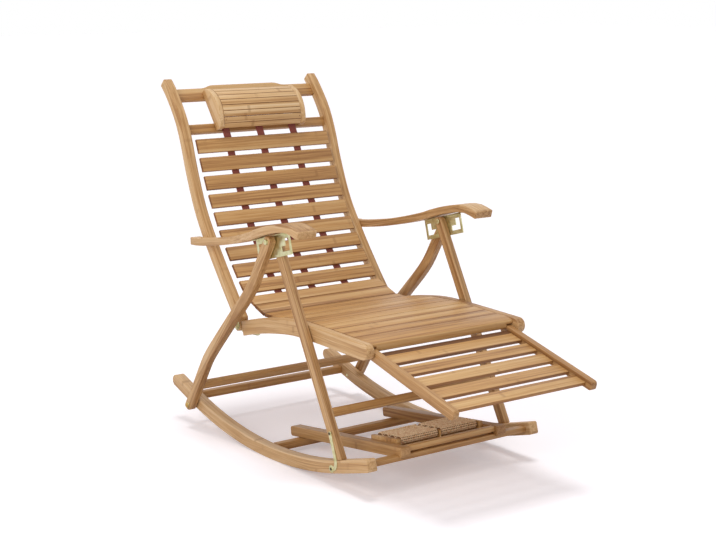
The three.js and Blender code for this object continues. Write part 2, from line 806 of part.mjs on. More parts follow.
function makeStraps() {
  const behind = slatThick + fit + strapThick / 2;
  const clear = fit + strapThick / 2;
  const line = [
    onRailFace(secondRailPlace, secondRailDeep, strapLap - secondRailTall / 2, clear),
    onRailFace(secondRailPlace, secondRailDeep, -secondRailTall / 2 - strapThick * 2,
      clear + strapThick / 2),
  ];
  for (let i = 0; i < slatCount; i += 1) {
    const ends = stretch(slatCourse, ...slatSpan(i));
    const first = ends[0];
    const last = ends[ends.length - 1];
    const along = last.clone().sub(first).normalize();
    const rear = spot(-along.y, along.x).multiplyScalar(behind);
    const past = along.clone().multiplyScalar(strapThick);
    line.push(first.clone().add(rear).sub(past), last.clone().add(rear).add(past));
  }
  const outline = stripOutline(line, strapThick, false, false);
  [['left', -webStation], ['middle', 0], ['right', webStation]].forEach(([label, at]) => {
    addPiece(`strap_${label}`, slab(outline, at - strapWide / 2, at + strapWide / 2), webbing);
  });
}

// Headrest: two curved side pieces against the rails of the back, with slats over the curve.
function headCurve() {
  const low = onRailFace(secondRailPlace, secondRailDeep, secondRailTall / 2, fit);
  const high = onRailFace(topRailPlace, topRailDeep, -topRailTall / 2, fit);
  const lap = onRailFace(topRailPlace, topRailDeep, headLap - topRailTall / 2, fit);
  const long = low.distanceTo(high);
  const along = high.clone().sub(low).normalize();
  const front = spot(-along.y, along.x);
  const onSide = ([up, out]) => low.clone()
    .addScaledVector(along, up * long).addScaledVector(front, out * long);
  const line = new THREE.SplineCurve(headFrontShares.map(onSide)).getSpacedPoints(18);
  return { outline: [low, onSide(headHeelShare), ...line, lap, high], line };
}

function makeHeadrest() {
  const { outline, line } = headCurve();
  for (const [side, label] of sides) {
    addPiece(`headrest_side_${label}`,
      slab(outline, ...across(side, headHalf - headSideWide, headHalf)), bamboo);
  }
  const half = headHalf - headSideWide - fit;
  const total = lineLength(line);
  const pitch = total / headSlatCount;
  const downLine = line.slice().reverse();
  const slats = [];
  for (let i = 0; i < headSlatCount; i += 1) {
    slats.push(slatOnLine(downLine, i * pitch + headSlatGap / 2, (i + 1) * pitch - headSlatGap / 2,
      headSlatThick, half));
  }
  const under = offset(stretch(downLine, pitch / 2, total - pitch / 2), headSlatThick);
  const battens = [-headBattenStation, headBattenStation].map((at) => slab(
    stripOutline(under, headSlatThick / 2, false, false),
    at - headBattenWide / 2, at + headBattenWide / 2));
  addPiece('headrest_slats', join(slats[0], ...slats.slice(1), ...battens), bambooDark);
}

// A closed body through rings of four corners.
function loft(rings) {
  const positions = rings.flat().flatMap((corner) => corner.toArray());
  const index = [];
  const last = rings.length - 1;
  for (let ring = 0; ring < last; ring += 1) {
    for (let side = 0; side < 4; side += 1) {
      const a = ring * 4 + side;
      const b = ring * 4 + (side + 1) % 4;
      index.push(a, b, a + 4, b, b + 4, a + 4);
    }
  }
  index.push(0, 2, 1, 0, 3, 2);
  index.push(last * 4, last * 4 + 1, last * 4 + 2, last * 4, last * 4 + 2, last * 4 + 3);
  const geometry = new THREE.BufferGeometry();
  geometry.setAttribute('position', new THREE.Float32BufferAttribute(positions, 3));
  geometry.setIndex(index);
  return geometry;
}

// Arms: bent boards, narrow at the joint with the stiles and wide at the front.
function armLine() {
  return course(spot(armTailBack, armTailUp), -armReach, armRise, armShares, 26);
}

function armRings(side) {
  const line = armLine();
  const last = line.length - 1;
  const rings = [];
  const addRing = (centre, along, halfThick, inner, outer) => {
    const up = spot(along.y, -along.x).multiplyScalar(halfThick);
    const corners = [[inner, 1], [outer, 1], [outer, -1], [inner, -1]].map(([x, way]) =>
      new THREE.Vector3(side * x, centre.x + up.x * way, centre.y + up.y * way));
    rings.push(side > 0 ? corners.reverse() : corners);
  };
  line.forEach((centre, i) => {
    const along = heading(line, i);
    const blend = THREE.MathUtils.smoothstep(i / last, ...armTaperShares);
    const wide = armTailWide + (armWide - armTailWide) * blend;
    const outer = armInner + wide;
    const addEnd = (ahead) => addRing(centre.clone().addScaledVector(along, ahead), along,
      (armThick - armCorner) / 2, armInner + armCorner / 2, outer - armCorner / 2);
    if (i === 0) addEnd(-armCorner);
    addRing(centre, along, armThick / 2, armInner, outer);
    if (i === last) addEnd(armCorner);
  });
  return rings;
}

function makeArms() {
  for (const [side, label] of sides) {
    const washer = pin(bossRadius, armJoint, ...across(side, railOuter + fit, armInner + armTailWide / 2));
    addPiece(`arm_${label}`, join(loft(armRings(side)), washer), bamboo);
  }
}

// Arm brackets: pressed plates between the legs, with a lip under the arm each side of the bolt.
function makeBrackets() {
  const along = spot(Math.cos(bracketSlope), -Math.sin(bracketSlope));
  const up = spot(-along.y, along.x);
  const place = (back, rise) => legTop.clone().addScaledVector(along, back).addScaledVector(up, rise);
  const rear = bracketBack;
  const front = bracketBack - bracketLong;
  const low = bracketTopRise - bracketTall;
  const plateOutline = [place(rear, bracketTopRise), place(front, bracketTopRise),
    place(front, low), place(rear, low)];
  const windowOutline = (edge, way) => {
    const outside = edge - way * windowEdge;
    const inside = outside - way * windowWide;
    const floor = low + windowFoot;
    const roof = floor + windowTall;
    return [place(outside, floor), place(outside, roof),
      place(inside + way * windowBlock, roof), place(inside + way * windowBlock, roof - windowBlock),
      place(inside, roof - windowBlock), place(inside, floor)];
  };
  const lipOutline = (from, to) => [place(from, bracketTopRise), place(to, bracketTopRise),
    place(to, bracketTopRise - bracketThick), place(from, bracketTopRise - bracketThick)];
  const near = rockerOuter + (legGap - bracketThick) / 2;
  for (const [side, label] of sides) {
    const layer = across(side, near, near + bracketThick);
    const wideLayer = across(side, near - overrun, near + bracketThick + overrun);
    const lipLayer = across(side, near, near + bracketFlange);
    const plate = cut(slab(plateOutline, ...layer),
      slab(windowOutline(rear, 1), ...wideLayer),
      slab(windowOutline(front, -1), ...wideLayer),
      pin(boltRadius + fit, legTop, ...wideLayer));
    addPiece(`arm_bracket_${label}`, join(plate,
      slab(lipOutline(rear, rearLegDeep / 2 + bracketLipClear), ...lipLayer),
      slab(lipOutline(front, -rearLegDeep / 2 - bracketLipClear), ...lipLayer)), zinc);
  }
}

// Footrest: two rails and five slats, sloping down to the front when it is pulled out.
// It slides in along an arc, and lies level under the seat at the end of it.
const footAlong = spot(Math.cos(footSlope), Math.sin(footSlope));
const footMiddle = spot(hinge.x - footReach, hinge.y - footDrop);
const footRear = footMiddle.clone().addScaledVector(footAlong, footLong / 2);
const footGlide = footMiddle.clone().add(spot(footAlong.y, -footAlong.x).multiplyScalar(footGlideRadius));

function makeFootrest() {
  const outline = barOutline(footRear, footMiddle.clone().addScaledVector(footAlong, -footLong / 2),
    footRailDeep, footRailCorner);
  for (const [side, label] of sides) {
    addPiece(`footrest_rail_${label}`,
      slab(outline, ...across(side, footRailInner, footRailInner + footRailWide)), bamboo);
  }
  const down = footSlatRecess + footSlatThick / 2 - footRailDeep / 2;
  for (let i = 0; i < footSlatCount; i += 1) {
    const centre = footRear.clone()
      .addScaledVector(footAlong, -(footSlatFirst + footSlatWide / 2 + i * footSlatPitch))
      .add(spot(footAlong.y, -footAlong.x).multiplyScalar(down));
    const half = footRailInner - fit;
    const slat = slab(blockOutline(centre, footAlong, footSlatWide, footSlatThick), -half, half);
    const behind = centre.clone()
      .addScaledVector(footAlong, (footSlatWide + footBarLong) / 2 - footBarLap)
      .add(spot(footAlong.y, -footAlong.x)
        .multiplyScalar(footBarSink + (footBarTall - footSlatThick) / 2));
    const bar = slab(blockOutline(behind, footAlong, footBarLong, footBarTall), -half, half);
    addPiece(`footrest_slat_${i + 1}`, i === 0 ? join(slat, bar) : slat, bambooDark);
  }
}

// Runners: curved strips between the footrest rails and the seat rails that carry the footrest.
function makeRunners() {
  const reach = footRear.clone().sub(footGlide);
  const radius = reach.length();
  const rearTurn = Math.atan2(reach.x, reach.y);
  const line = [];
  for (let i = 0; i <= 8; i += 1) {
    const turn = rearTurn + (i / 8 * runnerLong - runnerLap) / radius;
    line.push(spot(footGlide.x + radius * Math.sin(turn), footGlide.y + radius * Math.cos(turn)));
  }
  const outline = stripOutline(line, runnerDeep, false, false);
  const from = footRailInner + footRailWide + slideFit;
  for (const [side, label] of sides) {
    addPiece(`footrest_runner_${label}`, slab(outline, ...across(side, from, railInner - slideFit)), zinc);
  }
}

// Foot roller set: a frame that lies on the front and middle rocker bars, with ribbed rollers.
const barHalf = rockerBarSize / 2;
const setRear = spot(middleBar.x + barHalf, middleBar.y + barHalf + fit);
const setFront = spot(frontBar.x + barHalf, frontBar.y + frontBarTall / 2 - rollerSideNotch);
const setAlong = setFront.clone().sub(setRear).normalize();
const setInner = rollerSideOuter - rollerSideWide;

// A place in the roller set, at a station of the chair and above the underside of its side pieces.
function onSet(back, rise) {
  const share = (setRear.x - back) / (setRear.x - setFront.x);
  return setRear.clone().lerp(setFront, share)
    .add(spot(setAlong.y, -setAlong.x).multiplyScalar(rise));
}

function makeRollerFrame() {
  const outline = barOutline(onSet(rollerSideRear, rollerSideDeep / 2),
    onSet(rollerSideFront, rollerSideDeep / 2), rollerSideDeep, rollerSideCorner);
  const notch = blockOutline(frontBar, level, rockerBarSize + fit * 2, frontBarTall + fit * 2);
  for (const [side, label] of sides) {
    const [from, to] = across(side, setInner, rollerSideOuter);
    addPiece(`roller_set_side_${label}`,
      cut(slab(outline, from, to), slab(notch, from - overrun, to + overrun)), bamboo);
  }
  const half = setInner - fit;
  const bar = onSet(rollerSideFront + rollerBarInset, rollerSideDeep - rollerBarTall / 2);
  addPiece('roller_set_bar',
    slab(blockOutline(bar, setAlong, rollerBarLong, rollerBarTall), -half, half), bambooDark);
}

function makeRollerTray() {
  const middle = onSet((trayRear + trayFront) / 2, rollerSideDeep + trayProud - trayDeep / 2);
  const axles = onSet((trayRear + trayFront) / 2, rollerSideDeep + trayProud - axleSink);
  const long = trayRear - trayFront;
  const half = setInner - fit;
  const drumFrom = trayMiddle / 2;
  const drumTo = half - trayWall;
  const above = middle.clone().add(spot(setAlong.y, -setAlong.x).multiplyScalar(trayFloor));
  const room = blockOutline(above, setAlong, long + overrun * 2, trayDeep);
  const rows = [];
  for (let i = 0; i < rollerCount; i += 1) {
    rows.push(axles.clone().addScaledVector(setAlong, ((rollerCount - 1) / 2 - i) * rollerPitch));
  }
  const cutters = sides.map(([side]) => slab(room, ...across(side, drumFrom, drumTo)));
  const axleEnd = drumTo + axleLong;
  rows.forEach((row) => cutters.push(pin(axleRadius + fit, row, -axleEnd - fit, axleEnd + fit)));
  addPiece('roller_tray', cut(slab(blockOutline(middle, setAlong, long, trayDeep), -half, half), ...cutters),
    bamboo);
  rows.forEach((row, i) => {
    const roller = makeRoller(drumFrom + rollerGap, drumTo - rollerGap, axleEnd);
    roller.translate(0, row.x, row.y);
    addPiece(`roller_${i + 1}`, roller, rollerWood);
  });
}

// A roller of two ribbed drums on one axle, turned about its own middle. The drums lie between
// two distances from the middle.
function makeRoller(from, to, end) {
  const low = rollerRadius - rollerRib;
  const pitch = (to - from) / rollerRibCount;
  const profile = [new THREE.Vector2(0, -end), new THREE.Vector2(axleRadius, -end)];
  for (const start of [-to, from]) {
    profile.push(new THREE.Vector2(axleRadius, start));
    for (let i = 0; i < rollerRibCount; i += 1) {
      const foot = start + i * pitch;
      profile.push(new THREE.Vector2(low, foot + pitch * ribFootShare));
      profile.push(new THREE.Vector2(rollerRadius, foot + pitch * ribTopShare));
      profile.push(new THREE.Vector2(rollerRadius, foot + pitch * (1 - ribTopShare)));
      profile.push(new THREE.Vector2(low, foot + pitch * (1 - ribFootShare)));
    }
    profile.push(new THREE.Vector2(axleRadius, start + to - from));
  }
  profile.push(new THREE.Vector2(axleRadius, end), new THREE.Vector2(0, end));
  const roller = new THREE.LatheGeometry(profile, rollerSides);
  roller.rotateZ(Math.PI / 2);
  return toGeometry(toSolid(roller));
}

makeRockers();
makeRockerBars();
makeRearLegs();
makeRearLegBar();
makeFrontLegs();
makeFrontLegBar();
makeLatches();
makeSeatRails();
makeSeatSlats();
makeNoseSlat();
makeHingePlates();
makeStiles();
makeBackRails();
makeBackSlats();
makeStraps();
makeHeadrest();
makeArms();
makeBrackets();
makeFootrest();
makeRunners();
makeRollerFrame();
makeRollerTray();

// The origin goes to the middle of the chair's own box, at the floor.
const box = new THREE.Box3().setFromObject(chair);
const boxMiddle = box.getCenter(new THREE.Vector3());
chair.position.set(-boxMiddle.x, -boxMiddle.y, -box.min.z);

export default chair;
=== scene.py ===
"""Folding rocking chair of laminated bamboo: its looks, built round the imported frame.

Every wooden node of the frame is dressed with rounded edges and bamboo that runs along
the board, and the metal, the webbing and the foot rollers get their own pieces.
Sizes are in metres.
"""

from __future__ import annotations

import json
import logging
import math
from dataclasses import dataclass, field
from enum import Enum
from typing import Any, Callable, Iterable

import bmesh
import bpy
import numpy as np
from mathutils import Euler, Matrix, Vector

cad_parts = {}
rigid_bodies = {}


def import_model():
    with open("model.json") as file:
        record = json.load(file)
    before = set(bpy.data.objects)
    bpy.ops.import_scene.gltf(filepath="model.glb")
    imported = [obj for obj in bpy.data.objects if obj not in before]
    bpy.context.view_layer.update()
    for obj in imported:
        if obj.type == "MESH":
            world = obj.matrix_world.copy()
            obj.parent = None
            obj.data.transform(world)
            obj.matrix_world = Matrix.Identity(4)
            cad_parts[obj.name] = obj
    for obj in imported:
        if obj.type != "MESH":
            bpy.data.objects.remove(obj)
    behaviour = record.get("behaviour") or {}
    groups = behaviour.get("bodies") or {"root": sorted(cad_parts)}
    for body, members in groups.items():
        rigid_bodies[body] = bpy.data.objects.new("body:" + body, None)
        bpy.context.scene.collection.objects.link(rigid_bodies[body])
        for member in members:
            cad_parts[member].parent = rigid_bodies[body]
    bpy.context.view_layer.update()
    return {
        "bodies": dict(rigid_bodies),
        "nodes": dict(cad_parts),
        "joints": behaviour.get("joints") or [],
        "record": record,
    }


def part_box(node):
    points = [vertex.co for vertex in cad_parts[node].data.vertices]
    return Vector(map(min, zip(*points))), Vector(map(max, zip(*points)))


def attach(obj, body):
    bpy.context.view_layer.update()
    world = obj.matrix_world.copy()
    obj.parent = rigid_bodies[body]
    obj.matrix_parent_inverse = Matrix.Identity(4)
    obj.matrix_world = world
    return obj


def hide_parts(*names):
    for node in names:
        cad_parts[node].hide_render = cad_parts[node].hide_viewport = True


LOG = logging.getLogger("rocking_chair")

Piece = bpy.types.Object
Material = bpy.types.Material
Tree = bpy.types.NodeTree
Node = bpy.types.Node
Socket = bpy.types.NodeSocket
PointTest = Callable[[Vector], bool]

SIDES = {"left": -1.0, "right": 1.0}
GRAIN = "grain"
BEVEL_WEIGHT = "bevel_weight_edge"
MERGE_DISTANCE = 0.00001
FLAT_ANGLE = math.radians(0.3)
CORNER_ANGLE = math.radians(35.0)
SMOOTH_ANGLE = math.radians(32.0)
ROUNDING_SEGMENTS = 3
END_FACE = 0.9  # a face whose normal points this much along an axis is an end face of it
NEAREST_WHOLE = 0.5  # the fold at which a ping-pong gives the distance to the nearest whole number


class Run(Enum):
    """Which way the bamboo of a board runs."""

    ALONG_SIDE = "follows the curve of a side piece"
    ACROSS_CHAIR = "from side to side"


# Finishes


def linear(hex_colour: str) -> tuple[float, float, float, float]:
    """Turns an sRGB hex colour into the linear colour that a shader takes.

    Args:
        hex_colour: Six hex digits after a hash sign.

    Returns:
        Red, green, blue and an alpha of 1.
    """
    parts = [int(hex_colour[i : i + 2], 16) / 255 for i in (1, 3, 5)]
    red, green, blue = (p / 12.92 if p <= 0.04045 else ((p + 0.055) / 1.055) ** 2.4 for p in parts)
    return red, green, blue, 1.0


def add_node(tree: Tree, kind: str, inputs: dict[Any, Any] | None = None, **settings: Any) -> Node:
    """Adds one shader node with its settings, values and links.

    Args:
        tree: The material's or world's node tree.
        kind: The node's type name.
        inputs: A value, or an output socket to link, for each input by name or number.
        **settings: Properties of the node itself.

    Returns:
        The new node.
    """
    node = tree.nodes.new(kind)
    for name, value in settings.items():
        setattr(node, name, value)
    for key, value in (inputs or {}).items():
        if isinstance(value, Socket):
            tree.links.new(value, node.inputs[key])
        else:
            node.inputs[key].default_value = value
    return node


def blank_material(name: str) -> tuple[Material, Tree, Node]:
    """Makes a material that holds only its output.

    Args:
        name: The material's name.

    Returns:
        The material, its node tree and its output node.
    """
    material = bpy.data.materials.new(name)
    material.use_nodes = True
    tree = material.node_tree
    tree.nodes.clear()
    return material, tree, tree.nodes.new("ShaderNodeOutputMaterial")


def colour_ramp(tree: Tree, source: Socket, stops: Iterable[tuple[float, str]]) -> Socket:
    """Turns a number into a colour between named stops.

    Args:
        tree: The material's node tree.
        source: The number, from 0 to 1.
        stops: Place and sRGB hex colour of each stop, two or more, in order.

    Returns:
        The colour.
    """
    ramp = add_node(tree, "ShaderNodeValToRGB", {"Fac": source})
    first, *between, last = stops
    elements = ramp.color_ramp.elements
    for element, (position, colour) in zip((elements[0], elements[1]), (first, last)):
        element.position = position
        element.color = linear(colour)
    for position, colour in between:
        elements.new(position).color = linear(colour)
    return ramp.outputs["Color"]


@dataclass(frozen=True)
class Bamboo:
    """Laminated bamboo strips, planed and lacquered: pale honey strips of slightly different tone,
    with fine long fibres, a darker knuckle across each strip and a soft satin gloss."""

    name: str
    pale: str = "#D6B489"
    honey: str = "#C49A67"
    deep: str = "#8C5C2C"
    knuckle: str = "#8A5A29"
    strip_wide: float = 0.0195
    strip_tone: float = 0.42
    fibre_wide: float = 0.0022  # about 0.3 mm in the real board, drawn coarser so that it shows
    fibre_long: float = 0.11
    fibre_tone: float = 0.85
    streak_wide: float = 0.007
    streak_long: float = 0.42
    streak_tone: float = 1.0
    knuckle_apart: float = 0.37
    knuckle_wide: float = 0.007
    knuckle_tone: float = 0.42
    seam_wide: float = 0.0007  # the glue line, drawn twice its width
    seam_tone: float = 0.3
    fibre_detail: float = 3.0
    streak_detail: float = 2.0
    noise_roughness: float = 0.6
    strip_shift: float = 40.0  # how far the noise moves from strip to strip, in its own cells
    knuckle_core_share: float = 0.25
    tone_stops: tuple[float, float, float] = (0.12, 0.5, 0.86)  # of deep, honey and pale
    gloss: tuple[float, float] = (0.42, 0.6)
    relief: float = 0.0002
    relief_strength: float = 0.35
    coat: float = 0.1
    coat_roughness: float = 0.35

    def build(self) -> Material:
        """Builds the material from the board's own grain attribute.

        Returns:
            The new material.
        """
        material, tree, output = blank_material(self.name)
        grain = add_node(tree, "ShaderNodeAttribute", attribute_name=GRAIN).outputs["Vector"]
        run = add_node(tree, "ShaderNodeSeparateXYZ", {0: grain})
        strips = add_node(
            tree, "ShaderNodeMath", {0: run.outputs["Y"], 1: self.strip_wide}, operation="DIVIDE"
        ).outputs[0]
        strip = add_node(tree, "ShaderNodeMath", {0: strips}, operation="FLOOR").outputs[0]
        dice = add_node(tree, "ShaderNodeTexWhiteNoise", {"W": strip}, noise_dimensions="1D")
        chance = add_node(tree, "ShaderNodeSeparateColor", {0: dice.outputs["Color"]})
        fibre, streak = (
            self.stretched(tree, grain, dice.outputs["Color"], long, wide, detail)
            for long, wide, detail in (
                (self.fibre_long, self.fibre_wide, self.fibre_detail),
                (self.streak_long, self.streak_wide, self.streak_detail),
            )
        )
        tone = self.mixed_tone(tree, fibre, streak, dice.outputs["Value"])
        ramp = colour_ramp(tree, tone, zip(self.tone_stops, (self.deep, self.honey, self.pale)))
        mark = self.knuckle_mark(tree, run.outputs["X"], chance.outputs["Green"], chance.outputs["Blue"])
        seam = self.seam_mark(tree, strips)
        marked = add_node(
            tree, "ShaderNodeMix", {0: mark, 6: ramp, 7: linear(self.knuckle)}, data_type="RGBA"
        )
        seamed = add_node(
            tree, "ShaderNodeMix", {0: seam, 6: marked.outputs[2], 7: linear(self.deep)}, data_type="RGBA"
        )
        gloss = add_node(
            tree, "ShaderNodeMapRange", {0: fibre, 3: self.gloss[1], 4: self.gloss[0]}
        ).outputs[0]
        bump = add_node(
            tree,
            "ShaderNodeBump",
            {"Height": fibre, "Strength": self.relief_strength, "Distance": self.relief},
        ).outputs[0]
        shader = add_node(
            tree,
            "ShaderNodeBsdfPrincipled",
            {
                "Base Color": seamed.outputs[2],
                "Roughness": gloss,
                "Normal": bump,
                "Coat Weight": self.coat,
                "Coat Roughness": self.coat_roughness,
            },
        )
        tree.links.new(shader.outputs[0], output.inputs["Surface"])
        return material

    def stretched(
        self, tree: Tree, grain: Socket, offset: Socket, long: float, wide: float, detail: float
    ) -> Socket:
        """Adds noise that is drawn out along the board and differs from strip to strip.

        Args:
            tree: The material's node tree.
            grain: Place on the board: along, across and through it.
            offset: A random colour for each strip.
            long: Length of a fibre.
            wide: Width of a fibre.
            detail: Octaves of the noise.

        Returns:
            The noise, from 0 to 1.
        """
        scale = (1 / long, 1 / wide, 1 / wide)
        shift = add_node(
            tree, "ShaderNodeVectorMath", {0: offset, "Scale": self.strip_shift}, operation="SCALE"
        ).outputs[0]
        place = add_node(
            tree, "ShaderNodeVectorMath", {0: grain, 1: scale, 2: shift}, operation="MULTIPLY_ADD"
        ).outputs[0]
        return add_node(
            tree,
            "ShaderNodeTexNoise",
            {"Vector": place, "Scale": 1.0, "Detail": detail, "Roughness": self.noise_roughness},
        ).outputs["Fac"]

    def mixed_tone(self, tree: Tree, fibre: Socket, streak: Socket, strip: Socket) -> Socket:
        """Adds up fibre, streak and strip tones about a middle of one half.

        Args:
            tree: The material's node tree.
            fibre: Fine noise.
            streak: Broad noise.
            strip: A random number for each strip.

        Returns:
            The tone, about 0 to 1.
        """
        parts = ((fibre, self.fibre_tone), (streak, self.streak_tone), (strip, self.strip_tone))
        tone: Any = (1 - sum(weight for _, weight in parts)) / 2
        for source, weight in parts:
            tone = add_node(
                tree, "ShaderNodeMath", {0: source, 1: weight, 2: tone}, operation="MULTIPLY_ADD"
            ).outputs[0]
        return tone

    def knuckle_mark(self, tree: Tree, along: Socket, shift: Socket, present: Socket) -> Socket:
        """Marks the cane's knuckles: a short dark band, at another place on each strip.

        Args:
            tree: The material's node tree.
            along: Place along the board.
            shift: A random share that moves the strip's knuckles.
            present: A random number that weakens some of them.

        Returns:
            The strength of the mark.
        """
        turns = add_node(
            tree, "ShaderNodeMath", {0: along, 1: 1 / self.knuckle_apart, 2: shift}, operation="MULTIPLY_ADD"
        ).outputs[0]
        wave = add_node(
            tree, "ShaderNodeMath", {0: turns, 1: NEAREST_WHOLE}, operation="PINGPONG"
        ).outputs[0]
        away = add_node(
            tree, "ShaderNodeMath", {0: wave, 1: self.knuckle_apart}, operation="MULTIPLY"
        ).outputs[0]
        core = self.knuckle_wide * self.knuckle_core_share
        band = add_node(
            tree,
            "ShaderNodeMapRange",
            {0: away, 1: core, 2: self.knuckle_wide, 3: self.knuckle_tone, 4: 0.0},
            interpolation_type="SMOOTHSTEP",
        ).outputs[0]
        return add_node(tree, "ShaderNodeMath", {0: band, 1: present}, operation="MULTIPLY").outputs[0]

    def seam_mark(self, tree: Tree, strips: Socket) -> Socket:
        """Marks the glue lines between the strips.

        Args:
            tree: The material's node tree.
            strips: Place across the board, in strips.

        Returns:
            The strength of the mark.
        """
        edge = add_node(
            tree, "ShaderNodeMath", {0: strips, 1: NEAREST_WHOLE}, operation="PINGPONG"
        ).outputs[0]
        return add_node(
            tree,
            "ShaderNodeMapRange",
            {0: edge, 1: 0.0, 2: self.seam_wide / self.strip_wide, 3: self.seam_tone, 4: 0.0},
            interpolation_type="SMOOTHSTEP",
        ).outputs[0]


@dataclass(frozen=True)
class Mottled:
    """A hard surface whose colour and gloss drift in soft patches, under a fine relief."""

    name: str
    light: str
    dark: str
    patch_size: float
    patch_detail: float
    patch_stops: tuple[float, float]  # of the dark and the light colour
    mark_size: float
    gloss: tuple[float, float]
    gloss_in_patches: bool
    relief: float
    metallic: float
    mark_detail: float = 2.0
    relief_strength: float = 0.3

    def build(self) -> Material:
        """Builds the material on the object's own coordinates.

        Returns:
            The new material.
        """
        material, tree, output = blank_material(self.name)
        place = tree.nodes.new("ShaderNodeTexCoord").outputs["Object"]
        patches, marks = (
            add_node(
                tree, "ShaderNodeTexNoise", {"Vector": place, "Scale": 1 / size, "Detail": detail}
            ).outputs["Fac"]
            for size, detail in (
                (self.patch_size, self.patch_detail),
                (self.mark_size, self.mark_detail),
            )
        )
        ramp = colour_ramp(tree, patches, zip(self.patch_stops, (self.dark, self.light)))
        rough = add_node(
            tree,
            "ShaderNodeMapRange",
            {0: patches if self.gloss_in_patches else marks, 3: self.gloss[0], 4: self.gloss[1]},
        ).outputs[0]
        bump = add_node(
            tree,
            "ShaderNodeBump",
            {"Height": marks, "Strength": self.relief_strength, "Distance": self.relief},
        ).outputs[0]
        shader = add_node(
            tree,
            "ShaderNodeBsdfPrincipled",
            {"Base Color": ramp, "Roughness": rough, "Normal": bump, "Metallic": self.metallic},
        )
        tree.links.new(shader.outputs[0], output.inputs["Surface"])
        return material


@dataclass(frozen=True)
class Plating(Mottled):
    """Pressed steel with a thin plated skin: a soft metal gloss with faint cloudy patches
    and fine rolling marks."""

    patch_size: float = 0.012
    patch_detail: float = 3.0
    patch_stops: tuple[float, float] = (0.35, 0.65)
    mark_size: float = 0.0012  # rolling marks, drawn coarser than the real ones
    gloss: tuple[float, float] = (0.26, 0.44)
    gloss_in_patches: bool = True
    relief: float = 0.00005
    metallic: float = 1.0


@dataclass(frozen=True)
class TurnedWood(Mottled):
    """Small turned beads of oiled hardwood: warm brown, each a little different, with fine end grain."""

    patch_size: float = 0.006
    patch_detail: float = 2.0
    patch_stops: tuple[float, float] = (0.3, 0.7)
    mark_size: float = 0.0011  # pores, drawn coarser than the real ones
    gloss: tuple[float, float] = (0.4, 0.58)
    gloss_in_patches: bool = False
    relief: float = 0.0001
    metallic: float = 0.0


@dataclass(frozen=True)
class Webbing:
    """Woven polyester webbing: matt, with a fine rib across the strap and warp threads along it."""

    name: str = "red_brown_webbing"
    thread: str = "#A65548"
    shade: str = "#7C382C"
    rib_apart: float = 0.0024  # drawn coarser than the real 1 mm
    warp_apart: float = 0.0019
    relief: float = 0.0004
    relief_strength: float = 0.8
    roughness: float = 0.85
    sheen: float = 0.25

    def build(self) -> Material:
        """Builds the material on the strap's own grain attribute.

        Returns:
            The new material.
        """
        material, tree, output = blank_material(self.name)
        grain = add_node(tree, "ShaderNodeAttribute", attribute_name=GRAIN).outputs["Vector"]
        run = add_node(tree, "ShaderNodeSeparateXYZ", {0: grain})
        waves = []
        for axis, apart in (("X", self.rib_apart), ("Z", self.warp_apart)):
            turns = add_node(
                tree, "ShaderNodeMath", {0: run.outputs[axis], 1: math.tau / apart}, operation="MULTIPLY"
            ).outputs[0]
            waves.append(add_node(tree, "ShaderNodeMath", {0: turns}, operation="SINE").outputs[0])
        weave = add_node(
            tree, "ShaderNodeMath", {0: waves[0], 1: waves[1]}, operation="MULTIPLY"
        ).outputs[0]
        height = add_node(tree, "ShaderNodeMapRange", {0: weave, 1: -1.0, 2: 1.0}).outputs[0]
        ramp = colour_ramp(tree, height, ((0.0, self.shade), (1.0, self.thread)))
        bump = add_node(
            tree,
            "ShaderNodeBump",
            {"Height": height, "Strength": self.relief_strength, "Distance": self.relief},
        ).outputs[0]
        shader = add_node(
            tree,
            "ShaderNodeBsdfPrincipled",
            {
                "Base Color": ramp,
                "Roughness": self.roughness,
                "Normal": bump,
                "Sheen Weight": self.sheen,
            },
        )
        tree.links.new(shader.outputs[0], output.inputs["Surface"])
        return material


def finish(recipe: Bamboo | Mottled | Webbing) -> Any:
    """Makes a field whose material is built from its recipe when the finishes are."""
    return field(default_factory=recipe.build)


@dataclass
class Finishes:
    """One material for each finish of the chair."""

    # Rockers, legs, seat rails and arms
    side: Material = finish(Bamboo("bamboo_side_pieces"))
    # Stiles and headrest, in lighter bamboo: painted light that stands in for the stronger light on the upper
    # part of the chair
    upper_painted_light: Material = finish(
        Bamboo("bamboo_upper_pieces_painted_light", pale="#E2C297", honey="#D0A772", deep="#A87842")
    )
    # Rails of the footrest and of the foot rollers, in darker bamboo: painted shade that stands in for the
    # shade low down under the seat
    lower_painted_shade: Material = finish(
        Bamboo("bamboo_lower_pieces_painted_shade", pale="#C29866", honey="#AC7E4A", deep="#825528")
    )
    slat: Material = finish(Bamboo("bamboo_slats", pale="#CFA872", honey="#BC8C52"))
    # Cut edges of the slats, in darker bamboo: painted shade that stands in for the shade on the slats' sides
    # and in the gaps between them
    edge: Material = finish(
        Bamboo("bamboo_slat_edges_painted_shade", pale="#A9773F", honey="#8E5C2C", deep="#6C431F")
    )
    # The bar behind the first slat of the footrest, in darker bamboo: painted shade that stands in for the
    # shadow of the seat's nose on it
    bar_painted_shade: Material = finish(
        Bamboo("bamboo_bar_painted_shade", pale="#7E5533", honey="#664022", deep="#4C2E18")
    )
    zinc: Material = finish(Plating("yellow_zinc_plate", "#E2DFB8", "#CCC893"))
    screw: Material = finish(Plating("dark_screw", "#6A6048", "#4A4232"))
    brass: Material = finish(Plating("brass_plated_bolt", "#D9B872", "#B58E4B"))
    webbing: Material = finish(Webbing())
    bead: Material = finish(TurnedWood("turned_bead_wood", "#F8E2C0", "#DDB182"))
    # Also the dark heads of the headrest's nails
    spindle: Material = finish(TurnedWood("turned_spindle_wood", "#8A5C34", "#6A4425"))


# Bench work: small steps that every sub-assembly uses


def deselect_all() -> None:
    """Leaves nothing selected."""
    bpy.ops.object.select_all(action="DESELECT")


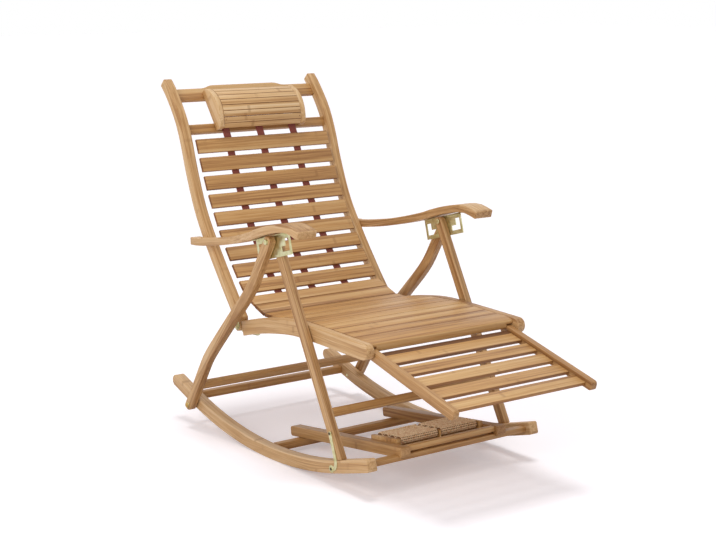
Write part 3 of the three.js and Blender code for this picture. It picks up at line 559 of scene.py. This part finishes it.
def pick(*pieces: Piece) -> None:
    """Selects these pieces only, and makes the first one active.

    Args:
        *pieces: The pieces, one or more.
    """
    deselect_all()
    for piece in pieces:
        piece.select_set(True)
    bpy.context.view_layer.objects.active = pieces[0]


def apply_modifier(piece: Piece, kind: str, **settings: Any) -> None:
    """Adds a modifier to a piece and applies it.

    Args:
        piece: The piece.
        kind: The modifier's type name.
        **settings: The modifier's properties.
    """
    pick(piece)
    modifier = piece.modifiers.new(kind.lower(), kind)
    for name, value in settings.items():
        setattr(modifier, name, value)
    bpy.ops.object.modifier_apply(modifier=modifier.name)


def smooth_by_angle(piece: Piece, angle: float = SMOOTH_ANGLE) -> None:
    """Shades a piece smooth where its faces meet at less than an angle."""
    pick(piece)
    bpy.ops.object.shade_smooth_by_angle(angle=angle)


def settle(piece: Piece) -> None:
    """Puts a piece's place into its mesh, so that its object sits at the origin."""
    pick(piece)
    bpy.ops.object.transform_apply(location=True, rotation=True, scale=True)


def join_pieces(first: Piece, *others: Piece) -> Piece:
    """Joins pieces into one.

    Args:
        first: The piece that the others become part of.
        *others: The other pieces.

    Returns:
        The first piece.
    """
    pick(first, *others)
    bpy.ops.object.join()
    return first


def copy_of(piece: Piece, name: str) -> Piece:
    """Copies a piece with a mesh of its own.

    Args:
        piece: The piece to copy.
        name: The copy's name.

    Returns:
        The copy, linked to the scene.
    """
    twin = bpy.data.objects.new(name, piece.data.copy())
    bpy.context.scene.collection.objects.link(twin)
    return twin


def turned_along_x(piece: Piece, side: float, place: Vector) -> Piece:
    """Lays a piece that was made about +Z on its side, its top pointing outwards, and settles it.

    Args:
        piece: The piece, made about the Z axis with its base at 0.
        side: -1 for the left and 1 for the right.
        place: Where the middle of its base goes.

    Returns:
        The same piece.
    """
    piece.rotation_euler = Euler((0.0, side * math.pi / 2, 0.0))
    piece.location = place
    settle(piece)
    return piece


class Bench:
    """Holds the frame and the finishes, and dresses nodes of the frame."""

    bend_degree = 4  # of the curve that a side piece's grain follows
    slender_share = 3  # a piece this much longer than it is wide can be bent
    board_cycle = 64  # after this many boards the strips' tones come round again
    strips_apart = 16  # so many strips lie between the first strips of two boards

    def __init__(self, frame: dict[str, Any], finishes: Finishes) -> None:
        """Keeps what every sub-assembly needs.

        Args:
            finishes: The materials.
        """
        self.frame = frame
        self.finishes = finishes
        record = frame["record"]
        self.body_of = {
            node: body for body, nodes in record["behaviour"]["bodies"].items() for node in nodes
        }
        self.slot_of = {row["node"]: row["material_slot"] for row in record["subparts"]}
        self.joints = {joint["name"]: joint for joint in frame["joints"]}
        self.boards = 0

    def pivot(self, joint: str) -> Vector:
        """Gives a joint's place in the side view, as a point on the chair's middle plane."""
        place = Vector(self.joints[joint]["pos_m"])
        return Vector((0.0, place.y, place.z))

    def settle_in(self, piece: Piece, body: str, slot: str) -> Piece:
        """Makes a piece ride on a body and reports it.

        Args:
            piece: The finished piece.
            body: The body that carries it.
            slot: The record's material slot; not used.

        Returns:
            The same piece.
        """
        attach(piece, body)
        LOG.info("%s rides on %s", piece.name, body)
        return piece

    def copy_node(self, node: str, name: str) -> Piece:
        """Copies a node's mesh as a new piece with clean faces.

        Args:
            node: The node's name.
            name: The new piece's name.

        Returns:
            The new piece, with no material.
        """
        piece = copy_of(self.frame["nodes"][node], name)
        piece.data.materials.clear()
        pick(piece)
        if piece.data.has_custom_normals:
            bpy.ops.mesh.customdata_custom_splitnormals_clear()
        bpy.ops.object.mode_set(mode="EDIT")
        bpy.ops.mesh.select_all(action="SELECT")
        bpy.ops.mesh.remove_doubles(threshold=MERGE_DISTANCE)
        bpy.ops.mesh.dissolve_limited(angle_limit=FLAT_ANGLE)
        bpy.ops.object.mode_set(mode="OBJECT")
        return piece

    def dress(
        self,
        node: str,
        material: Material,
        run: Run,
        rounding: float,
        other: Material | None = None,
        on_other: PointTest | None = None,
        other_rounding: float = 0.0005,
        edge_wide: float = 0.0,
    ) -> Piece:
        """Stands a finished piece in for a node: rounded edges, grain and material.

        Args:
            node: The node's name.
            material: The main material.
            run: Which way its grain runs.
            rounding: Width of the rounded edges.
            other: A second material, for another part that is one with the node, such as a pin.
            on_other: Says whether a point of the node belongs to that part.
            other_rounding: Width of the rounded edges there.
            edge_wide: Faces narrower than this are cut edges, painted with shade in the darker bamboo.

        Returns:
            The new piece.
        """
        piece = self.copy_node(node, f"{node}_finished")
        piece.data.materials.append(material)
        if other and on_other:
            piece.data.materials.append(other)
            for face in piece.data.polygons:
                face.material_index = int(on_other(face.center))
        self.weigh_corners(piece, on_other, other_rounding / rounding)
        apply_modifier(
            piece,
            "BEVEL",
            width=rounding,
            segments=ROUNDING_SEGMENTS,
            limit_method="WEIGHT",
            use_clamp_overlap=False,
        )
        smooth_by_angle(piece)
        if edge_wide:
            self.paint_edge_shade(piece, edge_wide)
        self.lay_grain(piece, run)
        self.settle_in(piece, self.body_of[node], self.slot_of[node])
        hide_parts(node)
        return piece

    def paint_edge_shade(self, piece: Piece, wide: float) -> None:
        """Paints shade on the narrow faces of a slat, where it was cut, in the darker bamboo.

        Args:
            piece: The piece.
            wide: Faces narrower than this count as cut edges.
        """
        mesh = piece.data
        mesh.materials.append(self.finishes.edge)
        edge_shade_slot = len(mesh.materials) - 1
        for face in mesh.polygons:
            corners = [mesh.vertices[i].co for i in face.vertices]
            longest = max((corners[i] - corners[i - 1]).length for i in range(len(corners)))
            if face.material_index == 0 and face.area < wide * longest:
                face.material_index = edge_shade_slot

    @staticmethod
    def weigh_corners(piece: Piece, on_other: PointTest | None, other_share: float) -> None:
        """Gives each sharp edge its weight for the bevel.

        Args:
            piece: The piece.
            on_other: Says whether a point belongs to the other part.
            other_share: The weight of that part's edges.
        """
        work = bmesh.new()
        work.from_mesh(piece.data)
        layer = work.edges.layers.float.get(BEVEL_WEIGHT) or work.edges.layers.float.new(BEVEL_WEIGHT)
        for edge in work.edges:
            closed = len(edge.link_faces) == 2
            if not closed or not edge.is_convex or edge.calc_face_angle(0.0) < CORNER_ANGLE:
                edge[layer] = 0.0
                continue
            middle = (edge.verts[0].co + edge.verts[1].co) / 2
            edge[layer] = other_share if on_other and on_other(middle) else 1.0
        work.to_mesh(piece.data)
        work.free()

    def lay_grain(self, piece: Piece, run: Run) -> None:
        """Stores each point's place along, across and through the board.

        Args:
            piece: The piece, settled at the origin.
            run: Which way its grain runs.
        """
        self.boards += 1
        mesh = piece.data
        points = np.zeros(len(mesh.vertices) * 3, np.float32)
        mesh.vertices.foreach_get("co", points)
        points = points.reshape(-1, 3)
        side_view = points[:, 1:]
        middle = side_view.mean(0)
        _, _, axes = np.linalg.svd(side_view - middle, full_matrices=False)
        long_way = (side_view - middle) @ axes[0]
        short_way = (side_view - middle) @ axes[1]
        slender = np.ptp(long_way) > np.ptp(short_way) * self.slender_share
        bend = np.polyfit(long_way, short_way, self.bend_degree) if slender else [0.0]
        off_line = short_way - np.polyval(bend, long_way)
        if run is Run.ALONG_SIDE:
            place = np.stack([long_way, off_line, points[:, 0]], 1)
        else:
            place = np.stack([points[:, 0], long_way, off_line], 1)
        # Dividing by e keeps the knuckles of any two boards apart, and the half centres a strip
        place[:, 0] += self.boards * Bamboo.knuckle_apart / math.e
        strips_before = self.boards % self.board_cycle * self.strips_apart
        place[:, 1] += (strips_before + 0.5) * Bamboo.strip_wide
        store = mesh.attributes.new(GRAIN, "FLOAT_VECTOR", "POINT")
        store.data.foreach_set("vector", place.astype(np.float32).ravel())


@dataclass
class Bolts:
    """Domed bolt heads with a hex socket, over the flat heads of the frame."""

    bench: Bench
    radius: float = 0.0068
    height: float = 0.0022
    crown: float = 0.0012
    socket_radius: float = 0.0026
    socket_deep: float = 0.0016
    socket_chamfer_share: float = 0.05
    dome_shares: tuple[float, float] = (0.3, 0.3)  # of the way in and of the crown, at each step
    flat_share: float = 0.4  # of the way in, from the dome to the socket
    edge_parts: int = 6  # the rounded edge takes one part of the height in so many
    sides: int = 32

    def head(self, name: str) -> Piece:
        """Models one head about +Z, its base at 0.

        Args:
            name: The piece's name.

        Returns:
            The new head.
        """
        deselect_all()
        bpy.ops.mesh.primitive_cylinder_add(
            vertices=self.sides,
            radius=self.radius,
            depth=self.height,
            location=(0, 0, self.height / 2),
        )
        head = bpy.context.active_object
        head.name = name
        settle(head)
        bpy.ops.object.mode_set(mode="EDIT")
        bpy.ops.mesh.select_mode(type="FACE")
        bpy.ops.mesh.select_all(action="DESELECT")
        work = bmesh.from_edit_mesh(head.data)
        for face in work.faces:
            face.select_set(face.normal.z > END_FACE)
        bmesh.update_edit_mesh(head.data)
        rim = self.radius - self.socket_radius
        for share in self.dome_shares:
            bpy.ops.mesh.inset(thickness=rim * share, depth=0.0)
            bpy.ops.transform.translate(value=(0, 0, self.crown * share))
        bpy.ops.mesh.inset(thickness=rim * self.flat_share, depth=0.0)
        bpy.ops.mesh.inset(
            thickness=self.socket_radius * self.socket_chamfer_share, depth=-self.socket_deep
        )
        bpy.ops.object.mode_set(mode="OBJECT")
        apply_modifier(
            head,
            "BEVEL",
            width=self.height / self.edge_parts,
            segments=2,
            limit_method="ANGLE",
            angle_limit=CORNER_ANGLE,
            use_clamp_overlap=True,
        )
        smooth_by_angle(head)
        return head

    def pair(self, name: str, place: Vector, outside: float, body: str, material: Material) -> None:
        """Fits a head on each side of the chair.

        Args:
            name: What the two bolts are named for.
            place: The bolt's place in the side view.
            outside: How far from the middle the heads sit.
            body: The body that carries them.
            material: Their plating.
        """
        for label, side in SIDES.items():
            self.fit(f"{name}_{label}", side, place, outside, body, material)

    def fit(
        self, name: str, side: float, place: Vector, outside: float, body: str, material: Material
    ) -> None:
        """Fits one head.

        Args:
            name: The bolt's name.
            side: -1 for the left and 1 for the right.
            place: The bolt's place in the side view.
            outside: How far from the middle the head sits.
            body: The body that carries it.
            material: Its plating.
        """
        head = self.head(name)
        turned_along_x(head, side, Vector((side * outside, place.y, place.z)))
        head.data.materials.clear()
        head.data.materials.append(material)
        self.bench.settle_in(head, body, "zinc")


@dataclass
class LatchScrews(Bolts):
    """The small flat screws of the latches."""

    radius: float = 0.0036
    height: float = 0.001
    crown: float = 0.0004
    socket_radius: float = 0.0012
    socket_deep: float = 0.0006


@dataclass
class Rockers:
    """The two curved rockers and the three bars between them."""

    bench: Bench
    rounding: float = 0.002
    bar_rounding: float = 0.0014

    def build(self) -> None:
        """Dresses the rockers and their bars."""
        bench = self.bench
        for label in SIDES:
            bench.dress(f"rocker_{label}", bench.finishes.side, Run.ALONG_SIDE, self.rounding)
        for label in ("front", "middle", "rear"):
            bench.dress(f"rocker_bar_{label}", bench.finishes.slat, Run.ACROSS_CHAIR, self.bar_rounding)


@dataclass
class Legs:
    """Rear and front legs with their bolts, bars and latches."""

    bench: Bench
    rounding: float = 0.0018
    bar_rounding: float = 0.0014
    bolt_reach: float = 0.0095  # farther from the pivot than this is timber
    bolt_end_share: float = 0.2  # of a leg's height, at each end, where its bolts are
    skin: float = 0.0001  # a point nearer than this to a face is on it
    latch_rounding: float = 0.0003
    ring_radius: float = 0.0095
    ring_forward: float = 0.006  # of the latch's ring, from its pivot

    def wood_span(self, node: str) -> tuple[float, float]:
        """Finds between which distances from the chair's middle a leg's timber lies.

        Args:
            node: The leg's node.

        Returns:
            Nearest and farthest distance, without the bolts at the leg's ends.
        """
        low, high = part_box(node)
        end = (high.z - low.z) * self.bolt_end_share
        bottom = low.z + end
        top = high.z - end
        wood = [
            abs(v.co.x) for v in self.bench.frame["nodes"][node].data.vertices if bottom < v.co.z < top
        ]
        return min(wood), max(wood)

    def build(self) -> None:
        """Dresses the legs and latches, and fits the bolts and screws."""
        bench = self.bench
        finishes = bench.finishes
        top = bench.pivot("fold")
        foot = bench.pivot("rear_legs_lean")
        seat = bench.pivot("seat_lift")
        near, far = self.wood_span("rear_leg_left")

        def on_rear_bolt(point: Vector) -> bool:
            """Says whether a point of a rear leg belongs to one of its bolts."""
            close = min((point.yz - top.yz).length, (point.yz - foot.yz).length) < self.bolt_reach
            return close and not near - self.skin < abs(point.x) < far + self.skin

        for label in SIDES:
            bench.dress(
                f"rear_leg_{label}", finishes.side, Run.ALONG_SIDE, self.rounding, finishes.zinc, on_rear_bolt
            )
        bench.dress("rear_leg_bar", finishes.slat, Run.ACROSS_CHAIR, self.bar_rounding)
        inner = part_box("front_leg_bar")[1].x

        def on_seat_pin(point: Vector) -> bool:
            """Says whether a point of a front leg belongs to the pin that carries the seat."""
            return (point.yz - seat.yz).length < self.bolt_reach and abs(point.x) < inner

        for label in SIDES:
            bench.dress(
                f"front_leg_{label}", finishes.side, Run.ALONG_SIDE, self.rounding, finishes.zinc, on_seat_pin
            )
        bench.dress("front_leg_bar", finishes.slat, Run.ACROSS_CHAIR, self.bar_rounding)
        bolts = Bolts(bench)
        head_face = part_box("rear_leg_right")[1].x
        bolts.pair("leg_top_bolt", top, head_face, "rear_legs", finishes.zinc)
        bolts.pair("rocker_bolt", foot, head_face, "rear_legs", finishes.brass)
        screws = LatchScrews(bench)
        pivot = bench.pivot("latch_left_swing")
        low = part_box("latch_left")[0]
        ring = Vector((0.0, pivot.y - self.ring_forward, low.z + self.ring_radius))
        for label, side in SIDES.items():
            bench.dress(f"latch_{label}", finishes.zinc, Run.ALONG_SIDE, self.latch_rounding)
            for name, place in (("latch_hook_screw", ring), ("latch_pivot_screw", pivot)):
                screws.fit(f"{name}_{label}", side, place, -low.x, f"latch_{label}", finishes.screw)


@dataclass
class Seat:
    """Curved rails, close slats, the rounded nose and the hinge plates."""

    bench: Bench
    rail_rounding: float = 0.002
    slat_rounding: float = 0.0009
    edge_wide: float = 0.0095  # faces narrower than this are cut edges
    plate_rounding: float = 0.0004
    hinge_bolt_radius: float = 0.0062

    def build(self) -> None:
        """Dresses the seat and fits the hinge bolts."""
        bench = self.bench
        finishes = bench.finishes
        for label in SIDES:
            bench.dress(f"seat_rail_{label}", finishes.side, Run.ALONG_SIDE, self.rail_rounding)
            bench.dress(f"hinge_plate_{label}", finishes.zinc, Run.ALONG_SIDE, self.plate_rounding)
        bench.dress(
            "seat_slats", finishes.slat, Run.ACROSS_CHAIR, self.slat_rounding, edge_wide=self.edge_wide
        )
        bench.dress("nose_slat", finishes.slat, Run.ACROSS_CHAIR, self.slat_rounding)
        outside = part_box("hinge_plate_right")[1].x
        hinge_bolts = Bolts(bench, radius=self.hinge_bolt_radius)
        hinge_bolts.pair("hinge_bolt", bench.pivot("back_fold"), outside, "seat", finishes.zinc)


@dataclass
class Back:
    """Stiles, rails, slats and webbing straps of the back."""

    bench: Bench
    slat_count: int = 10
    stile_rounding: float = 0.0018
    rail_rounding: float = 0.0014
    slat_rounding: float = 0.001
    edge_wide: float = 0.0085  # faces narrower than this are cut edges
    strap_rounding: float = 0.0003

    def build(self) -> None:
        """Dresses the back."""
        bench = self.bench
        finishes = bench.finishes
        for label in SIDES:
            bench.dress(f"stile_{label}", finishes.upper_painted_light, Run.ALONG_SIDE, self.stile_rounding)
        for node in ("top_rail", "second_rail"):
            bench.dress(node, finishes.slat, Run.ACROSS_CHAIR, self.rail_rounding)
        for number in range(1, self.slat_count + 1):
            bench.dress(
                f"back_slat_{number:02d}",
                finishes.slat,
                Run.ACROSS_CHAIR,
                self.slat_rounding,
                edge_wide=self.edge_wide,
            )
        for label in ("left", "middle", "right"):
            bench.dress(f"strap_{label}", finishes.webbing, Run.ALONG_SIDE, self.strap_rounding)


@dataclass
class Headrest:
    """Side pieces with an arched top and the slats nailed over it."""

    bench: Bench
    side_rounding: float = 0.0014
    slat_rounding: float = 0.0007
    edge_wide: float = 0.0065  # faces narrower than this are cut edges
    nail_radius: float = 0.0016
    nail_height: float = 0.0006
    nail_inset: float = 0.0055  # from the slat's end
    nail_sides: int = 12
    nail_edge_parts: int = 3  # the rounded edge takes one part of the height in so many
    end_depth: float = 0.0001  # a face whose middle is nearer than this to the end is an end face

    def build(self) -> None:
        """Dresses the headrest and drives its nails."""
        bench = self.bench
        for label in SIDES:
            bench.dress(
                f"headrest_side_{label}", bench.finishes.upper_painted_light, Run.ALONG_SIDE, self.side_rounding
            )
        bench.dress(
            "headrest_slats",
            bench.finishes.upper_painted_light,
            Run.ACROSS_CHAIR,
            self.slat_rounding,
            edge_wide=self.edge_wide,
        )
        self.nails()

    def slat_tops(self) -> list[tuple[Vector, Vector]]:
        """Finds the middle of each slat's top edge at its right-hand end.

        Returns:
            For each slat, the point and the way that its top faces.
        """
        probe = self.bench.copy_node("headrest_slats", "headrest_probe")
        end = max(v.co.x for v in probe.data.vertices) - self.end_depth
        low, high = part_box("headrest_slats")
        heart = Vector((0.0, high.y, (low.z + high.z) / 2))
        tops = []
        for face in probe.data.polygons:
            if face.center.x < end:
                continue
            corners = [probe.data.vertices[i].co for i in face.vertices]
            edges = [(corners[i - 1], corners[i]) for i in range(len(corners))]
            longest = sorted(edges, key=lambda pair: (pair[1] - pair[0]).length)[-2:]
            middles = [(a + b) / 2 for a, b in longest]
            flat = [Vector((0.0, m.y, m.z)) for m in middles]
            outer = max(range(2), key=lambda i: (flat[i] - heart).length)
            away = (flat[outer] - flat[1 - outer]).normalized()
            tops.append((middles[outer], away))
        bpy.data.objects.remove(probe)
        return tops

    def nails(self) -> None:
        """Models one flat nail head and copies it to both ends of every slat."""
        deselect_all()
        bpy.ops.mesh.primitive_cylinder_add(
            vertices=self.nail_sides, radius=self.nail_radius, depth=self.nail_height, location=(0, 0, 0)
        )
        nail = bpy.context.active_object
        edge = self.nail_height / self.nail_edge_parts
        apply_modifier(nail, "BEVEL", width=edge, segments=1, limit_method="ANGLE")
        heads = []
        for place, away in self.slat_tops():
            for side in SIDES.values():
                head = copy_of(nail, "nail")
                head.rotation_euler = away.to_track_quat("Z", "Y").to_euler()
                head.location = Vector((side * (place.x - self.nail_inset), place.y, place.z))
                settle(head)
                heads.append(head)
        bpy.data.objects.remove(nail)
        row = join_pieces(*heads)
        row.name = "headrest_nails"
        row.data.materials.clear()
        row.data.materials.append(self.bench.finishes.spindle)
        self.bench.settle_in(row, "back", "zinc")


@dataclass
class Arms:
    """Shaped arms and the pressed brackets below them."""

    bench: Bench
    rounding: float = 0.0018
    bracket_rounding: float = 0.0004
    skin: float = 0.0001  # a point nearer than this to a face is on it

    def build(self) -> None:
        """Dresses the arms and brackets."""
        bench = self.bench
        finishes = bench.finishes
        low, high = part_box("arm_right")
        middle = (low.y + high.y) / 2
        points = bench.frame["nodes"]["arm_right"].data.vertices
        inner = min(v.co.x for v in points if v.co.y < middle)

        def on_washer(point: Vector) -> bool:
            """Says whether a point of an arm belongs to the washer on its inner face."""
            return abs(point.x) < inner - self.skin

        for label in SIDES:
            bench.dress(
                f"arm_{label}", finishes.side, Run.ALONG_SIDE, self.rounding, finishes.zinc, on_washer
            )
            bench.dress(f"arm_bracket_{label}", finishes.zinc, Run.ALONG_SIDE, self.bracket_rounding)


@dataclass
class Footrest:
    """Rails, slats and runners of the pull-out footrest."""

    bench: Bench
    slat_count: int = 5
    rail_rounding: float = 0.0018
    slat_rounding: float = 0.001
    edge_wide: float = 0.0095  # faces narrower than this are cut edges
    edge_skin: float = 0.0005  # the bar starts this far behind the first slat
    runner_rounding: float = 0.0006

    def build(self) -> None:
        """Dresses the footrest."""
        bench = self.bench
        finishes = bench.finishes
        for label in SIDES:
            bench.dress(f"footrest_rail_{label}", finishes.lower_painted_shade, Run.ALONG_SIDE, self.rail_rounding)
            bench.dress(f"footrest_runner_{label}", finishes.zinc, Run.ALONG_SIDE, self.runner_rounding)
        low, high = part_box("footrest_slat_2")
        slat_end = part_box("footrest_slat_1")[0].y + (high.y - low.y) + self.edge_skin

        def on_bar(point: Vector) -> bool:
            """Says whether a point of the first slat belongs to the bar behind it."""
            return point.y > slat_end

        for number in range(1, self.slat_count + 1):
            bench.dress(
                f"footrest_slat_{number}",
                finishes.slat,
                Run.ACROSS_CHAIR,
                self.slat_rounding,
                # The bar behind the first slat takes the darkest bamboo: painted shade for the shadow of the
                # seat's nose
                other=finishes.bar_painted_shade,
                on_other=on_bar if number == 1 else None,
                other_rounding=self.slat_rounding,
                edge_wide=self.edge_wide,
            )


@dataclass
class RollerSet:
    """The loose frame across the rockers, with four rollers covered in beads."""

    bench: Bench
    rounding: float = 0.0018
    tray_rounding: float = 0.0012
    core_inset: float = 0.0032  # the spindle's surface lies this deep under the beads
    core_sides: int = 24
    core_edge_parts: int = 8  # the rounded edge takes one part of the inset in so many
    stub_radius: float = 0.003
    stub_long: float = 0.0064
    bead_radius: float = 0.0026
    bead_gap: float = 0.0003
    bead_sides: int = 8
    bead_rings: int = 6
    beads_round: int = 11
    roller_count: int = 4

    def build(self) -> None:
        """Dresses the frame and builds the rollers."""
        bench = self.bench
        finishes = bench.finishes
        for label in SIDES:
            bench.dress(f"roller_set_side_{label}", finishes.lower_painted_shade, Run.ALONG_SIDE, self.rounding)
        bench.dress("roller_set_bar", finishes.slat, Run.ACROSS_CHAIR, self.rounding)
        bench.dress("roller_tray", finishes.slat, Run.ACROSS_CHAIR, self.tray_rounding)
        model = self.roller()
        for number in range(1, self.roller_count + 1):
            node = f"roller_{number}"
            low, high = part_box(node)
            roller = copy_of(model, f"{node}_beaded")
            roller.data.transform(Matrix.Translation((low + high) / 2))
            bench.settle_in(roller, node, "roller_wood")
            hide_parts(node)
        bpy.data.objects.remove(model)

    def roller(self) -> Piece:
        """Models one roller about the X axis: a drum each side of the tray's middle board,
        covered in beads, on one axle.

        Returns:
            The roller, with its middle at the origin.
        """
        low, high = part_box("roller_1")
        radius = (high.z - low.z) / 2
        axis = (low.z + high.z) / 2
        drum = [
            v.co.x
            for v in self.bench.frame["nodes"]["roller_1"].data.vertices
            if v.co.x > 0 and abs(v.co.z - axis) > radius / 2
        ]
        near, far = min(drum), max(drum)
        pieces = []
        for side in SIDES.values():
            core = self.spindle(radius - self.core_inset, far - near)
            beads = self.bead_sleeve(radius, far - near)
            for piece in (core, beads):
                piece.location = (side * (far + near) / 2, 0.0, 0.0)
                settle(piece)
                pieces.append(piece)
        return join_pieces(*pieces)

    def spindle(self, radius: float, long: float) -> Piece:
        """Turns the spindle, with a stub axle extruded from each end.

        Args:
            radius: The spindle's radius.
            long: Its length without the stubs.

        Returns:
            The spindle, lying along X.
        """
        deselect_all()
        bpy.ops.mesh.primitive_cylinder_add(vertices=self.core_sides, radius=radius, depth=long)
        core = bpy.context.active_object
        bpy.ops.object.mode_set(mode="EDIT")
        bpy.ops.mesh.select_mode(type="FACE")
        for way in (1, -1):
            bpy.ops.mesh.select_all(action="DESELECT")
            work = bmesh.from_edit_mesh(core.data)
            for face in work.faces:
                face.select_set(face.normal.z * way > END_FACE)
            bmesh.update_edit_mesh(core.data)
            bpy.ops.mesh.inset(thickness=radius - self.stub_radius)
            bpy.ops.mesh.extrude_region_move(
                TRANSFORM_OT_translate={"value": (0, 0, way * self.stub_long)}
            )
        bpy.ops.object.mode_set(mode="OBJECT")
        edge = self.core_inset / self.core_edge_parts
        apply_modifier(core, "BEVEL", width=edge, segments=2, limit_method="ANGLE")
        core.rotation_euler = Euler((0.0, math.pi / 2, 0.0))
        settle(core)
        smooth_by_angle(core)
        core.data.materials.append(self.bench.finishes.spindle)
        return core

    def bead_sleeve(self, radius: float, long: float) -> Piece:
        """Models one bead, repeats it along the roller, and spins the row round it.

        Args:
            radius: The roller's outer radius.
            long: The length to cover.

        Returns:
            The sleeve of beads.
        """
        pitch = self.bead_radius * 2 + self.bead_gap
        count = int(long // pitch)
        start = -pitch * (count - 1) / 2
        deselect_all()
        bpy.ops.mesh.primitive_uv_sphere_add(
            segments=self.bead_sides,
            ring_count=self.bead_rings,
            radius=self.bead_radius,
            location=(start, 0.0, radius - self.bead_radius),
        )
        bead = bpy.context.active_object
        settle(bead)
        apply_modifier(
            bead,
            "ARRAY",
            count=count,
            use_relative_offset=False,
            use_constant_offset=True,
            constant_offset_displace=(pitch, 0.0, 0.0),
        )
        bpy.ops.object.mode_set(mode="EDIT")
        bpy.ops.mesh.select_all(action="SELECT")
        last = self.beads_round - 1
        bpy.ops.mesh.spin(
            steps=last,
            dupli=True,
            angle=math.tau * last / self.beads_round,
            center=(0.0, 0.0, 0.0),
            axis=(1.0, 0.0, 0.0),
        )
        bpy.ops.object.mode_set(mode="OBJECT")
        smooth_by_angle(bead, math.pi)
        bead.data.materials.append(self.bench.finishes.bead)
        return bead


@dataclass
class Studio:
    """Camera at the photograph's angle, soft light and a pale floor."""

    lens_mm: float = 77.09
    sensor_mm: float = 36.0
    camera_place: tuple[float, float, float] = (-2.348, -3.1037, 1.2008)
    camera_turn: tuple[float, float, float] = (79.366, 0.0, -36.742)
    floor_half: float = 30.0
    floor_grey: str = "#F0EEF2"
    floor_glow: float = 0.26
    glow_tint: str = "#FFF6FA"
    sky_fill: float = 0.5
    key_power: float = 1.28
    key_soft: float = 20.0
    key_turn: tuple[float, float, float] = (-4.0, 3.0, 0.0)
    side_power: float = 80.0
    side_size: float = 2.5
    side_place: tuple[float, float, float] = (-4.0, -1.6, 2.4)
    side_aim: tuple[float, float, float] = (0.0, 0.0, 0.4)
    sky: str = "#FFFFFF"

    def build(self) -> None:
        """Sets the camera, the lights, the world and the floor."""
        self.camera()
        self.lights()
        self.world()
        self.floor()
        bpy.context.scene.view_settings.view_transform = "Standard"

    def camera(self) -> None:
        """Places the camera."""
        data = bpy.data.cameras.new("camera")
        data.sensor_fit = "HORIZONTAL"
        data.sensor_width = self.sensor_mm
        data.lens = self.lens_mm
        camera = bpy.data.objects.new("camera", data)
        camera.location = self.camera_place
        camera.rotation_euler = Euler([math.radians(turn) for turn in self.camera_turn])
        bpy.context.scene.collection.objects.link(camera)
        bpy.context.scene.camera = camera

    def lights(self) -> None:
        """Adds a soft key light almost overhead and a weak broad one from the left."""
        key = bpy.data.lights.new("key", "SUN")
        key.energy = self.key_power
        key.angle = math.radians(self.key_soft)
        sun = bpy.data.objects.new("key", key)
        sun.rotation_euler = Euler([math.radians(turn) for turn in self.key_turn])
        broad = bpy.data.lights.new("side", "AREA")
        broad.energy = self.side_power
        broad.size = self.side_size
        lamp = bpy.data.objects.new("side", broad)
        lamp.location = self.side_place
        towards = Vector(self.side_aim) - Vector(self.side_place)
        lamp.rotation_euler = towards.to_track_quat("-Z", "Y").to_euler()
        for light in (sun, lamp):
            bpy.context.scene.collection.objects.link(light)

    def world(self) -> None:
        """Makes the world white to the camera and in gloss, and a soft even fill on the object."""
        world = bpy.data.worlds.new("studio")
        bpy.context.scene.world = world
        world.use_nodes = True
        tree = world.node_tree
        tree.nodes.clear()
        path = tree.nodes.new("ShaderNodeLightPath")
        seen = path.outputs["Is Camera Ray"]
        for ray in ("Is Glossy Ray", "Is Transmission Ray"):
            seen = add_node(
                tree, "ShaderNodeMath", {0: seen, 1: path.outputs[ray]}, operation="MAXIMUM"
            ).outputs[0]
        strength = add_node(tree, "ShaderNodeMapRange", {0: seen, 3: self.sky_fill, 4: 1.0}).outputs[0]
        background = add_node(
            tree, "ShaderNodeBackground", {"Color": linear(self.sky), "Strength": strength}
        )
        output = tree.nodes.new("ShaderNodeOutputWorld")
        tree.links.new(background.outputs[0], output.inputs["Surface"])

    def floor(self) -> None:
        """Lays the floor, which glows a little for the camera so that it meets the white behind it."""
        deselect_all()
        bpy.ops.mesh.primitive_plane_add(size=self.floor_half * 2, location=(0, 0, 0))
        floor = bpy.context.active_object
        floor.name = "floor"
        material, tree, output = blank_material("pale_floor")
        path = tree.nodes.new("ShaderNodeLightPath")
        paint = add_node(tree, "ShaderNodeBsdfDiffuse", {"Color": linear(self.floor_grey)})
        glow_power = add_node(
            tree,
            "ShaderNodeMath",
            {0: path.outputs["Is Camera Ray"], 1: self.floor_glow},
            operation="MULTIPLY",
        ).outputs[0]
        glow = add_node(
            tree, "ShaderNodeEmission", {"Color": linear(self.glow_tint), "Strength": glow_power}
        )
        both = add_node(tree, "ShaderNodeAddShader", {0: paint.outputs[0], 1: glow.outputs[0]})
        tree.links.new(both.outputs[0], output.inputs["Surface"])
        floor.data.materials.append(material)


def main() -> None:
    """Builds the chair's looks, sub-assembly by sub-assembly."""
    logging.basicConfig(level=logging.INFO, format="%(name)s: %(message)s")
    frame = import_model()
    deselect_all()
    Studio().build()
    bench = Bench(frame, Finishes())
    for assembly in (Rockers, Legs, Seat, Back, Headrest, Arms, Footrest, RollerSet):
        LOG.info("building %s", assembly.__name__)
        assembly(bench).build()


if __name__ == "__main__":
    main()
